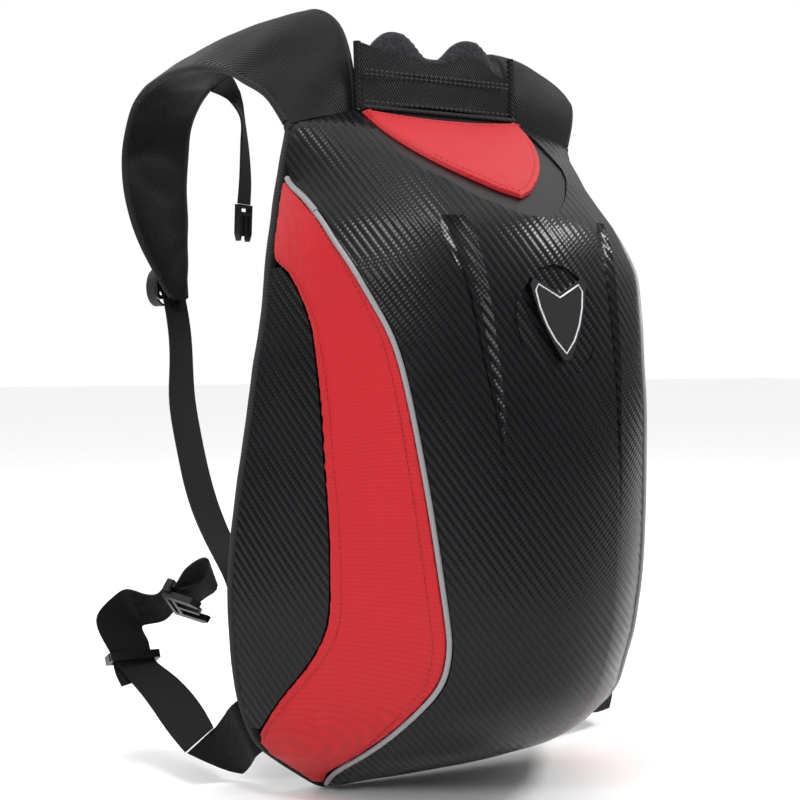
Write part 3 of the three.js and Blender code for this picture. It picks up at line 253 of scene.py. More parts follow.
@dataclass(frozen=True)
class Finish:
    """One real material and how it was made.

    Attributes:
        name: the real material.
        colour: sRGB colour of the raised parts.
        hollow_shade_and_grain_colour: sRGB colour of the hollows of the pattern: painted shade in the
            hollows of a relief, and the low tone of a grain.
        roughness: roughness of the surface.
        pattern: how the surface was made.
        period: spacing of the pattern, in millimetres.
        depth: depth of the pattern, in millimetres.
        coat: weight of a clear coat.
        coat_roughness: roughness of the clear coat.
        sheen: weight of the fibres' sheen.
        across: direction across ribs, in the row's frame.
        specular: specular level.
    """

    name: str
    colour: str
    hollow_shade_and_grain_colour: str
    roughness: float
    pattern: Pattern
    period: float
    depth: float
    coat: float = 0.0
    coat_roughness: float = 0.2
    sheen: float = 0.0
    across: tuple[float, float, float] = (0.0, 0.0, 1.0)
    specular: float = 0.5

    def stripes(self, tree: bpy.types.NodeTree, place: bpy.types.NodeSocket,
                across: Sequence[float], period: float) -> bpy.types.NodeSocket:
        """Sine stripes from 0 to 1 across a direction.

        Args:
            tree: the material's node tree.
            place: object coordinates, in metres.
            across: direction across the stripes.
            period: spacing in millimetres.

        Returns:
            The stripes' value.
        """
        way = Vector(across).normalized() * (2 * math.pi / (period * MM))
        dot = add_node(tree, "ShaderNodeVectorMath", {"operation": "DOT_PRODUCT"}, {1: way}, {0: place})
        sine = add_node(tree, "ShaderNodeMath", {"operation": "SINE"}, links={0: dot.outputs["Value"]})
        return add_node(tree, "ShaderNodeMath", {"operation": "MULTIPLY_ADD"}, {1: 0.5, 2: 0.5},
                        {0: sine.outputs[0]}).outputs[0]

    def relief(self, tree: bpy.types.NodeTree, place: bpy.types.NodeSocket) -> bpy.types.NodeSocket:
        """Height of the pattern from 0 to 1.

        Args:
            tree: the material's node tree.
            place: object coordinates, in metres.

        Returns:
            The height's socket.
        """
        if self.pattern is Pattern.TWILL:
            ribs = self.stripes(tree, place, self.across, self.period)
            breaks = self.stripes(tree, place, (-self.across[2], 0.3, self.across[0]), 0.55 * self.period)
            ratio = {1: 0.22}
            part = add_node(tree, "ShaderNodeMath", {"operation": "MULTIPLY"}, ratio, {0: breaks})
            return add_node(tree, "ShaderNodeMath", {"operation": "ADD"},
                            links={0: ribs, 1: part.outputs[0]}).outputs[0]
        if self.pattern is Pattern.RIBS:
            return self.stripes(tree, place, self.across, self.period)
        if self.pattern is Pattern.WEAVE:
            one = self.stripes(tree, place, (0.7, 0.5, 0.6), self.period)
            two = self.stripes(tree, place, (-0.6, 0.5, 0.7), self.period)
            both = add_node(tree, "ShaderNodeMath", {"operation": "MULTIPLY"}, links={0: one, 1: two})
            return both.outputs[0]
        if self.pattern is Pattern.MESH:
            cells = add_node(tree, "ShaderNodeTexVoronoi", {"feature": "F1"},
                             {"Scale": 1 / (self.period * MM)}, {"Vector": place})
            return cells.outputs["Distance"]
        grain = add_node(tree, "ShaderNodeTexNoise",
                         values={"Scale": 1 / (self.period * MM), "Detail": 4.0}, links={"Vector": place})
        return grain.outputs["Fac"]

    def material(self) -> bpy.types.Material:
        """Makes the material once.

        Returns:
            The material.
        """
        known = bpy.data.materials.get(self.name)
        if known:
            return known
        made = bpy.data.materials.new(self.name)
        made.use_nodes = True
        tree = made.node_tree
        tree.nodes.clear()
        place = add_node(tree, "ShaderNodeTexCoord").outputs["Object"]
        height = self.relief(tree, place)
        wear = add_node(tree, "ShaderNodeTexNoise", values={"Scale": 28.0, "Detail": 3.0},
                        links={"Vector": place})
        blend = add_node(tree, "ShaderNodeMath", {"operation": "MULTIPLY_ADD"}, {1: 0.35, 2: -0.17},
                         {0: wear.outputs["Fac"]})
        share = add_node(tree, "ShaderNodeMath", {"operation": "ADD", "use_clamp": True},
                         links={0: height, 1: blend.outputs[0]})
        # Painted shade: the colour darkens into the hollows of the relief, and the wear noise adds random
        # tone.
        tint = add_node(tree, "ShaderNodeMix", {"data_type": "RGBA"},
                        {"A": linear(self.hollow_shade_and_grain_colour), "B": linear(self.colour)},
                        {"Factor": share.outputs[0]})
        bump = add_node(tree, "ShaderNodeBump", values={"Strength": 0.8, "Distance": self.depth * MM},
                        links={"Height": height})
        rough = add_node(tree, "ShaderNodeMath", {"operation": "MULTIPLY_ADD"},
                         {1: 0.12, 2: self.roughness - 0.06}, {0: wear.outputs["Fac"]})
        shader = add_node(
            tree, "ShaderNodeBsdfPrincipled",
            values={"Coat Weight": self.coat, "Coat Roughness": self.coat_roughness,
                    "Sheen Weight": self.sheen, "Sheen Roughness": 0.5, "Specular IOR Level": self.specular},
            links={"Base Color": tint.outputs["Result"], "Normal": bump.outputs[0],
                   "Roughness": rough.outputs[0]})
        add_node(tree, "ShaderNodeOutputMaterial", links={"Surface": shader.outputs[0]})
        return made


# Gloss black film with embossed carbon twill on a moulded shell: diagonal ribs that break highlights
SHELL = Finish("embossed_pvc_film", "131316", "030304", 0.27, Pattern.TWILL, 4.6, 0.36,
               across=(0.77, -0.45, 0.64), specular=0.17)
# Smooth moulded border under the flap: even satin gloss with no ribs
BORDER = Finish("satin_moulded_abs", "08080a", "050506", 0.3, Pattern.GRAIN, 1.4, 0.03, specular=0.16)
# Polyurethane-coated red cloth: saturated, half matt, with a faint weave
RED = Finish("coated_red_polyester", "b9121b", "a00d16", 0.55, Pattern.WEAVE, 1.5, 0.06, sheen=0.05,
             specular=0.25)
# Reflective tape round a cord: flat grey with a fine grain
TAPE = Finish("reflective_grey_tape", "8a8a8c", "6f6f72", 0.45, Pattern.GRAIN, 0.8, 0.05)
# Folded ribbed binding tape: dark with ribs along its run, drawn coarser than the real 0.8 mm
BINDING = Finish("ribbed_polyester_tape", "121214", "040405", 0.75, Pattern.RIBS, 2.2, 0.25, sheen=0.02,
                 across=(0.5, 0.2, 1.0), specular=0.3)
# Ribbed ballistic cloth on wings and collar: fine ribs that show as a soft grain
RIBBED = Finish("ribbed_nylon_cloth", "131315", "050506", 0.5, Pattern.RIBS, 1.8, 0.3, sheen=0.01,
                across=(0.9, 0.2, 0.5), specular=0.12)
# Knitted spacer mesh on foam: matt, with small open cells, drawn a little coarser than the real 2 mm
MESH = Finish("knitted_spacer_mesh", "2c2c30", "0d0d0f", 0.85, Pattern.MESH, 2.6, 0.5, sheen=0.05,
              specular=0.2)
# Woven polypropylene webbing: grey-black, with a weave drawn coarser than the real 0.7 mm
WEBBING = Finish("woven_polypropylene_webbing", "1b1b1d", "0a0a0b", 0.6, Pattern.WEAVE, 1.7, 0.2, sheen=0.01,
                 specular=0.14)
# Injection-moulded acetal: black, a little shiny, with a very fine grain
ACETAL = Finish("moulded_acetal", "0c0c0e", "070708", 0.32, Pattern.GRAIN, 1.0, 0.02, specular=0.3)
# Polished black ABS of the badge: smooth, with sharp reflections
BADGE_BLACK = Finish("polished_black_abs", "08080a", "060607", 0.16, Pattern.GRAIN, 1.0, 0.01, coat=0.5,
                     coat_roughness=0.1)
# Silver foil line on the badge: a thin bright edge
SILVER = Finish("silver_foil", "c9c9cd", "b3b3b8", 0.3, Pattern.GRAIN, 0.8, 0.01)
# Sewing thread in the colour of the cloth that it holds
RED_THREAD = Finish("red_polyester_thread", "a80f18", "8f0c14", 0.6, Pattern.GRAIN, 0.5, 0.02)
BLACK_THREAD = Finish("black_polyester_thread", "35353a", "242428", 0.6, Pattern.GRAIN, 0.5, 0.02)


def rows_at(rows: Sequence[Sequence[float]], place: float) -> np.ndarray:
    """Smooth row between the rows of a table.

    Args:
        rows: the table.
        place: 2.5 is half way from the third row to the fourth.

    Returns:
        The row's values.
    """
    table = np.array(rows, float)
    last = len(table) - 1
    i = int(np.clip(math.floor(place), 0, last - 1))
    f = place - i
    p, q, r, s = (table[int(np.clip(k, 0, last))] for k in (i - 1, i, i + 1, i + 2))
    square = 2 * p - 5 * q + 4 * r - s
    cube = 3 * q - p - 3 * r + s
    return 0.5 * (2 * q + (r - p) * f + square * f ** 2 + cube * f ** 3)


def place_of_height(rows: Sequence[Sequence[float]], height: float) -> float:
    """Place in a table whose first column rises, where that column has a value.

    Args:
        rows: the table.
        height: the value.

    Returns:
        The place, such as 2.5 half way from the third row to the fourth.
    """
    low, high = 0.0, len(rows) - 1.0
    while high - low > 1e-4:
        middle = (low + high) / 2
        if rows_at(rows, middle)[0] < height:
            low = middle
        else:
            high = middle
    return low


def hem(x: float, height: float) -> float:
    """Height of a point of the shell, whose lowest rows rise towards +X."""
    low = np.clip((-0.64 * HALF_HEIGHT - height) / (0.34 * HALF_HEIGHT), 0, 1) ** 2
    return height + HEM_RISE * x * low


def side_point(height_share: float, part: float, side: int) -> Vector:
    """Point on the side of the shell.

    Args:
        height_share: height in shares of HALF_HEIGHT.
        part: 0 at the piping, 1 at the rim.
        side: -1 for the left, 1 for the right.

    Returns:
        The point, in metres.
    """
    row = rows_at(SECTIONS, place_of_height(SECTIONS, height_share))
    height, rim, edge = row[0] * HALF_HEIGHT, row[1] * HALF_WIDTH, row[2] * HALF_WIDTH
    depth = max(row[3], 0) * SHELL_DEPTH
    length = math.hypot(rim - edge, depth) + 1e-6
    belly = SIDE_BULGE * min(length / 120, 1)
    middle_x = (rim + edge) / 2 + belly * depth / length
    middle_depth = depth / 2 + belly * (rim - edge) / length
    a, b, c = (1 - part) ** 2, 2 * part * (1 - part), part ** 2
    x = side * (a * edge + b * middle_x + c * rim)
    return Vector((x, RIM_Y - a * depth - b * middle_depth, hem(x, height))) * MM


def moon_part(height_share: float) -> float:
    """Share of the side's curve at which the red panel ends at this height."""
    if not MOON_LINE[0][0] < height_share < MOON_LINE[-1][0]:
        return 1.0
    return float(np.clip(rows_at(MOON_LINE, place_of_height(MOON_LINE, height_share))[1], 0, 1))


def facet_place(x: float, up: float, lift: float) -> Vector:
    """Point over the facet under the flap: x across, up the slope and lift out of it, in metres."""
    turn = Matrix.Rotation(FACET_SLOPE, 4, "X")
    return (turn @ Vector((x, up, lift)) + Vector((0, -FACET_TOP_DEPTH, FACET_TOP))) * MM


def badge_place(x: float, up: float, lift: float) -> Vector:
    """Point over the badge's seat: x across, up and lift out of it, in metres."""
    turn = Matrix.Rotation(math.pi / 2 - BADGE_TILT, 4, "X")
    return (turn @ Vector((x, up, lift)) + Vector((0, RIM_Y - BADGE_SEAT_DEPTH, BADGE_CENTRE))) * MM


def new_object(name: str, points: Sequence, faces: Sequence, finish: Finish) -> bpy.types.Object:
    """Smooth-shaded mesh object with one finish.

    Args:
        name: the piece's name.
        points: its points, in metres.
        faces: its faces.
        finish: its finish.

    Returns:
        The object, linked to the scene.
    """
    mesh = bpy.data.meshes.new(name)
    mesh.from_pydata([tuple(p) for p in points], [], faces)
    mesh.validate()
    made = bpy.data.objects.new(name, mesh)
    bpy.context.scene.collection.objects.link(made)
    dress(made, finish)
    return made


def dress(piece: bpy.types.Object, finish: Finish, sharp: float = 40.0) -> None:
    """Gives a piece its material and smooth shading.

    Args:
        piece: the piece.
        finish: its finish.
        sharp: angle in degrees from which an edge is crisp.
    """
    piece.data.materials.clear()
    piece.data.materials.append(finish.material())
    piece.data.polygons.foreach_set("use_smooth", [True] * len(piece.data.polygons))
    piece.data.set_sharp_from_angle(angle=math.radians(sharp))


def bake_modifiers(piece: bpy.types.Object) -> None:
    """Applies a piece's modifiers to its mesh.

    Args:
        piece: the piece.
    """
    graph = bpy.context.evaluated_depsgraph_get()
    mesh = bpy.data.meshes.new_from_object(piece.evaluated_get(graph))
    piece.modifiers.clear()
    piece.data = mesh


def put(piece: bpy.types.Object, replaced: Sequence[str] = ()) -> None:
    """Lets a piece ride on the part and stand for the nodes that it replaces.

    Args:
        piece: the piece.
        replaced: names of the CAD nodes that it stands for.
    """
    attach(piece, "root")
    if replaced:
        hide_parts(*replaced)
    LOG.info("%s: %d faces", piece.name, len(piece.data.polygons))


def tube(name: str, path: Sequence[Vector], radius: float, finish: Finish, corners: int = 8,
         closed: bool = False) -> bpy.types.Object:
    """Round bead along a path.

    Args:
        name: the piece's name.
        path: its points, in metres.
        radius: its radius, in millimetres.
        finish: its finish.
        corners: points round the bead.
        closed: whether the path ends where it starts.

    Returns:
        The piece.
    """
    points, faces = [], []
    count = len(path)
    for i, point in enumerate(path):
        ahead = path[(i + 1) % count] if closed else path[min(i + 1, count - 1)]
        behind = path[(i - 1) % count] if closed else path[max(i - 1, 0)]
        along = (ahead - behind).normalized()
        out = along.orthogonal().normalized() if i == 0 else (last - along * last.dot(along)).normalized()
        last = out
        across = along.cross(out)
        for k in range(corners):
            angle = 2 * math.pi * k / corners
            points.append(point + (out * math.cos(angle) + across * math.sin(angle)) * radius * MM)
    for i in range(count if closed else count - 1):
        for k in range(corners):
            a, b = i * corners + k, i * corners + (k + 1) % corners
            c, d = ((i + 1) % count) * corners + (k + 1) % corners, ((i + 1) % count) * corners + k
            faces.append((a, b, c, d))
    if not closed:
        faces.append(tuple(range(corners))[::-1])
        faces.append(tuple((count - 1) * corners + k for k in range(corners)))
    return new_object(name, points, faces, finish)


@dataclass
class Seam:
    """Row of stitches along a path.

    Attributes:
        name: name of the piece.
        length: length of one stitch, in millimetres.
        gap: space between stitches.
        radius: radius of the thread.
    """

    name: str
    length: float = 3.0
    gap: float = 1.1
    radius: float = 0.45

    def build(self, paths: Sequence[Sequence[Vector]], finish: Finish) -> bpy.types.Object:
        """Stitches as short beads, in one mesh.

        Args:
            paths: routes of the seam, in metres.
            finish: the thread.

        Returns:
            The piece.
        """
        points, faces = [], []
        for path in paths:
            route = np.array([tuple(p) for p in path])
            run = np.r_[0, np.cumsum(np.linalg.norm(np.diff(route, axis=0), axis=1))]
            start = 0.0
            while start + self.length * MM < run[-1]:
                ends = [Vector([np.interp(s, run, route[:, k]) for k in range(3)])
                        for s in (start, start + self.length * MM)]
                self.add_bead(points, faces, *ends)
                start += (self.length + self.gap) * MM
        return new_object(self.name, points, faces, finish)

    def add_bead(self, points: list, faces: list, a: Vector, b: Vector) -> None:
        """Adds one six-sided bead with pointed ends between two points.

        Args:
            points: the mesh's points so far.
            faces: its faces so far.
            a: start of the stitch.
            b: end of the stitch.
        """
        first = len(points)
        along = (b - a).normalized()
        out = along.orthogonal().normalized()
        across = along.cross(out)
        points.append(a)
        for share in (0.2, 0.8):
            for k in range(6):
                angle = math.pi * k / 3
                round_way = out * math.cos(angle) + across * math.sin(angle)
                points.append(a.lerp(b, share) + round_way * self.radius * MM)
        points.append(b)
        for k in range(6):
            n = (k + 1) % 6
            faces.append((first, first + 1 + n, first + 1 + k))
            faces.append((first + 1 + k, first + 1 + n, first + 7 + n, first + 7 + k))
            faces.append((first + 13, first + 7 + k, first + 7 + n))


@dataclass
class SoftCopy:
    """Smooth piece made from the solid of a CAD node.

    Attributes:
        node: name of the CAD node.
        finish: its finish.
        slot: its material slot, not used.
        levels: subdivision levels.
        crease: angle in degrees from which an edge stays crisp.
        voxel: voxel size of a remesh in millimetres, 0 for none.
        ripple: height of soft wrinkles, in millimetres.
        wave: length of the wrinkles, in millimetres.
        swell: how much the piece swells, in millimetres.
        cut_width: width that a sheet was cut to, in millimetres, 0 for a piece that isn't a sheet; not used.
        held: how the sheet is held; not used.
        rests_on: what the sheet lies on; not used.
    """

    node: str
    finish: Finish
    slot: str
    levels: int = 2
    crease: float = 50.0
    voxel: float = 0.0
    ripple: float = 0.0
    wave: float = 30.0
    swell: float = 0.0
    cut_width: float = 0.0
    held: str = "hung"
    rests_on: tuple[str, ...] = ()

    def build(self, source: bpy.types.Object) -> bpy.types.Object:
        """The piece, which replaces its node.

        Args:
            source: the CAD node's object.

        Returns:
            The new piece.
        """
        piece = bpy.data.objects.new(f"{self.node}_cloth", source.data.copy())
        bpy.context.scene.collection.objects.link(piece)
        for name in ("custom_normal", "sharp_face", "sharp_edge"):
            if name in piece.data.attributes:
                piece.data.attributes.remove(piece.data.attributes[name])
        self.weld(piece.data)
        if self.voxel:
            remesh = piece.modifiers.new("remesh", "REMESH")
            remesh.mode = "VOXEL"
            remesh.voxel_size = self.voxel * MM
            smooth = piece.modifiers.new("smooth", "SMOOTH")
            smooth.iterations = 3
        else:
            divide = piece.modifiers.new("divide", "SUBSURF")
            divide.levels = self.levels
            divide.render_levels = self.levels
        bake_modifiers(piece)
        if self.ripple or self.swell:
            self.rumple(piece.data)
        dress(piece, self.finish, self.crease)
        put(piece, (self.node,))
        return piece

    def weld(self, mesh: bpy.types.Mesh) -> None:
        """Joins split vertices and triangles, and creases the crisp edges.

        Args:
            mesh: the copy of the CAD mesh.
        """
        work = bmesh.new()
        work.from_mesh(mesh)
        bmesh.ops.remove_doubles(work, verts=work.verts, dist=1e-5)
        bmesh.ops.join_triangles(work, faces=work.faces, angle_face_threshold=math.radians(25),
                                 angle_shape_threshold=math.radians(60))
        layer = work.edges.layers.float.get("crease_edge") or work.edges.layers.float.new("crease_edge")
        for edge in work.edges:
            if len(edge.link_faces) == 2 and edge.calc_face_angle() > math.radians(self.crease):
                edge[layer] = 1.0
        work.to_mesh(mesh)
        work.free()

    def rumple(self, mesh: bpy.types.Mesh) -> None:
        """Moves the points along their normals by soft wrinkles.

        Args:
            mesh: the piece's mesh.
        """
        count = len(mesh.vertices)
        points, normals = np.empty(count * 3), np.empty(count * 3)
        mesh.vertices.foreach_get("co", points)
        mesh.vertex_normals.foreach_get("vector", normals)
        points = points.reshape(-1, 3)
        heights = np.array([noise.noise(Vector(p) / (self.wave * MM)) for p in points])
        points += normals.reshape(-1, 3) * (self.swell + self.ripple * heights)[:, None] * MM
        mesh.vertices.foreach_set("co", points.ravel())
        mesh.update()


@dataclass
class Swelling:
    """Cloth simulation that fills a padded piece between the places where it is sewn down.

    Attributes:
        pressure: pressure inside the pad.
        limit: how far a point may move, in millimetres.
        frames: frames of the simulation.
    """

    pressure: float = 4.0
    limit: float = 5.0
    frames: int = 16

    def run(self, piece: bpy.types.Object, sewn: Callable[[Vector], bool]) -> None:
        """Fills the piece and keeps the result in its mesh.

        Args:
            piece: the pad.
            sewn: tells whether a point is held by a seam.
        """
        scene = bpy.context.scene
        start = np.array([tuple(v.co) for v in piece.data.vertices])
        group = piece.vertex_groups.new(name="sewn")
        group.add([v.index for v in piece.data.vertices if sewn(v.co)], 1.0, "ADD")
        cloth = piece.modifiers.new("cloth", "CLOTH")
        cloth.settings.use_pressure = True
        cloth.settings.uniform_pressure_force = self.pressure
        cloth.settings.effector_weights.gravity = 0.0
        cloth.settings.vertex_group_mass = "sewn"
        cloth.collision_settings.use_collision = False
        for frame in range(1, self.frames + 1):
            scene.frame_set(frame)
        graph = bpy.context.evaluated_depsgraph_get()
        ended = np.array([tuple(v.co) for v in piece.evaluated_get(graph).data.vertices])
        move = np.nan_to_num(ended - start)
        length = np.linalg.norm(move, axis=1, keepdims=True) + 1e-9
        move *= np.minimum(length, self.limit * MM) / length
        piece.modifiers.clear()
        piece.vertex_groups.clear()
        piece.data.vertices.foreach_set("co", (start + move).ravel())
        piece.data.update()
        scene.frame_set(1)


@dataclass
class HardPiece:
    """CAD node that keeps its shape and gets its finish.

    Attributes:
        node: name of the CAD node.
        finish: its finish.
        split: angle in degrees from which an edge is crisp.
    """

    node: str
    finish: Finish
    split: float = 32.0

    def dress(self, source: bpy.types.Object) -> None:
        """Dresses the node with its material and smooth shading.

        Args:
            source: the CAD node's object.
        """
        for name in ("custom_normal", "sharp_face", "sharp_edge"):
            if name in source.data.attributes:
                source.data.attributes.remove(source.data.attributes[name])
        source.data.materials.clear()
        source.data.materials.append(self.finish.material())
        source.data.polygons.foreach_set("use_smooth", [True] * len(source.data.polygons))
        weld = source.modifiers.new("weld", "WELD")
        weld.merge_threshold = 1e-5
        edges = source.modifiers.new("edges", "EDGE_SPLIT")
        edges.split_angle = math.radians(self.split)
        normals = source.modifiers.new("normals", "WEIGHTED_NORMAL")
        normals.keep_sharp = True
        LOG.info("%s: CAD node dressed", self.node)


@dataclass
class ShoulderStrap:
    """Padded shoulder strap with its wing over the shell's shoulder.

    Attributes:
        label: left or right.
        rows: table of its edges.
        side: -1 for the left, 1 for the right.
        columns: points across the strap.
        steps: rows of points between two rows of the table.
    """

    label: str
    rows: Sequence[Sequence[float]]
    side: int
    columns: int = 22
    steps: int = 6

    def edge_points(self, place: float) -> tuple[Vector, Vector, float]:
        """Edges of the strap at a place in the table.

        Args:
            place: 2.5 is half way from the third row to the fourth.

        Returns:
            Point of the neck's edge, point of the arm's edge and the arch.
        """
        row = rows_at(self.rows, place)
        scale = Vector((HALF_WIDTH, STRAP_REACH, HALF_HEIGHT)) * MM
        neck = Vector(row[0:3]) * scale
        arm = Vector(row[3:6]) * scale
        return neck, arm, -self.side * float(row[6])

    def surface(self) -> tuple[list, list, list]:
        """Points of the strap's two faces.

        Returns:
            Front points, back points and edge points, a list of rows each.
        """
        count = self.steps * (len(self.rows) - 1)
        stations = [self.edge_points(k / self.steps) for k in range(count + 1)]
        fronts, backs, edges = [], [], []
        for i, (neck, arm, arch) in enumerate(stations):
            ahead, behind = stations[min(i + 1, count)], stations[max(i - 1, 0)]
            along = (ahead[0] + ahead[1] - behind[0] - behind[1]) / 2
            normal = along.cross(arm - neck).normalized()
            rows: list[list[Vector]] = [[], []]
            for j in range(self.columns + 1):
                share = j / self.columns
                crown = 4 * share * (1 - share)
                half = (STRAP_EDGE + (STRAP_THICKNESS + 2.5 - STRAP_EDGE) * crown ** 0.5) / 2
                middle = neck.lerp(arm, share)
                wrinkle = 0.9 * noise.noise(middle / (26 * MM)) * crown
                for face, row in zip((1, -1), rows):
                    lift = (STRAP_ARCH * arch * crown + face * half + wrinkle) * MM
                    row.append(middle + normal * lift)
            fronts.append(rows[0])
            backs.append(rows[1])
            edges.append((neck, arm))
        return fronts, backs, edges

    def build(self) -> None:
        """Builds the strap, its bound edges and its seams."""
        fronts, backs, edges = self.surface()
        columns = self.columns + 1
        points = [p for row in fronts for p in row] + [p for row in backs for p in row]
        offset = len(fronts) * columns
        faces = []
        for i in range(len(fronts) - 1):
            for j in range(self.columns):
                a = i * columns + j
                faces.append((a, a + 1, a + columns + 1, a + columns))
                faces.append((offset + a, offset + a + columns, offset + a + columns + 1, offset + a + 1))
            for j, turn in ((0, 1), (self.columns, -1)):
                a = i * columns + j
                wall = (a, a + columns, offset + a + columns, offset + a)
                faces.append(wall[::turn])
        for i, turn in ((0, -1), (len(fronts) - 1, 1)):
            for j in range(self.columns):
                a = i * columns + j
                faces.append((a, a + 1, offset + a + 1, offset + a)[::turn])
        piece = new_object(f"{self.label}_strap_pad", points, faces, RIBBED)
        work = bmesh.new()
        work.from_mesh(piece.data)
        bmesh.ops.recalc_face_normals(work, faces=work.faces)
        work.to_mesh(piece.data)
        work.free()
        seams = []
        for i, pair in enumerate(edges):
            seams += pair if 3 < i < len(edges) - 4 else fronts[i]
        tree = KDTree(len(seams))
        for i, p in enumerate(seams):
            tree.insert(p, i)
        tree.balance()
        Swelling(pressure=3.0, limit=2.2).run(piece, lambda p: tree.find(p)[2] < 6.5 * MM)
        dress(piece, RIBBED, 50)
        put(piece, (f"{self.label}_strap",))
        self.bind(edges)

    def bind(self, edges: Sequence[tuple[Vector, Vector]]) -> None:
        """Binding tape along both edges, round the root and at the collar's end.

        Args:
            edges: points of both edges, row by row.
        """
        for name, which in (("neck", 0), ("arm", 1)):
            path = []
            for pair in edges[1:-2]:
                inwards = (pair[1 - which] - pair[which]).normalized()
                path.append(pair[which] + inwards * 1.6 * MM)
            trim = tube(f"{self.label}_strap_{name}_binding", path, 2.9, BINDING, corners=10)
            put(trim)
        neck, arm = edges[0]
        root = [neck.lerp(arm, k / 12) + Vector((0, 0, -1.2 * MM)) for k in range(13)]
        put(tube(f"{self.label}_strap_root_binding", root, 3.4, BINDING, corners=10))
        seam = [Vector((self.side * 65.2, -16.5 + 2.5 * k / 9, 240.5 + 47 * k / 9)) * MM for k in range(10)]
        put(tube(f"{self.label}_collar_seam", seam, 2.7, RIBBED, corners=10))


@dataclass
class BackPad:
    """Padded panel that lies on the wearer's back, sewn down in blocks.

    Attributes:
        block_height: spacing of the cross seams, in millimetres.
        half_width: half width of the padded part.
        seam: half width of a sewn channel.
    """

    block_height: float = 118.0
    half_width: float = 104.0
    seam: float = 3.2

    def sewn(self, point: Vector) -> bool:
        """Tells whether a seam or the panel's frame holds a point.

        Args:
            point: the point, in metres.

        Returns:
            True where the point stays.
        """
        x, y, z = (c / MM for c in point)
        row = (z + 30) / self.block_height
        near_row = abs(row - round(row)) * self.block_height < self.seam
        return abs(x) > self.half_width or z > 205 or z < -180 or abs(x) < self.seam or near_row or y < -4

    def build(self, source: bpy.types.Object) -> None:
        """Builds the pad and fills its blocks."""
        panel = SoftCopy("back_panel", MESH, "mesh", voxel=3.5).build(source)
        Swelling(pressure=5.0, limit=6.0).run(panel, self.sewn)


@dataclass
class SidePanel:
    """Red side panel's seams.

    Attributes:
        label: left or right.
        side: -1 or 1.
        inset: distance of the stitch line from the edge, as a share of the side's curve.
    """

    label: str
    side: int
    inset: float = 0.055

    def lines(self) -> list[list[Vector]]:
        """Routes of the stitch lines, just over the red panel.

        Returns:
            The line beside the piping and the line beside the half-moon.
        """
        front, rear = [], []
        for k in range(120):
            height = -0.87 + (0.72 + 0.87) * k / 119
            part = moon_part(height)
            front.append(self.over(height, self.inset + 0.02))
            if part < 1:
                rear.append(self.over(height, part - self.inset))
        return [front, rear]

    def over(self, height: float, part: float) -> Vector:
        """Point a little out of the side's surface."""
        point = side_point(height, part, self.side)
        out = Vector((point.x, point.y + 0.03, 0)).normalized()
        return point + out * 0.35 * MM

    def build(self) -> None:
        """Sews the panel."""
        seam = Seam(f"{self.label}_red_panel_stitches").build(self.lines(), RED_THREAD)
        put(seam)


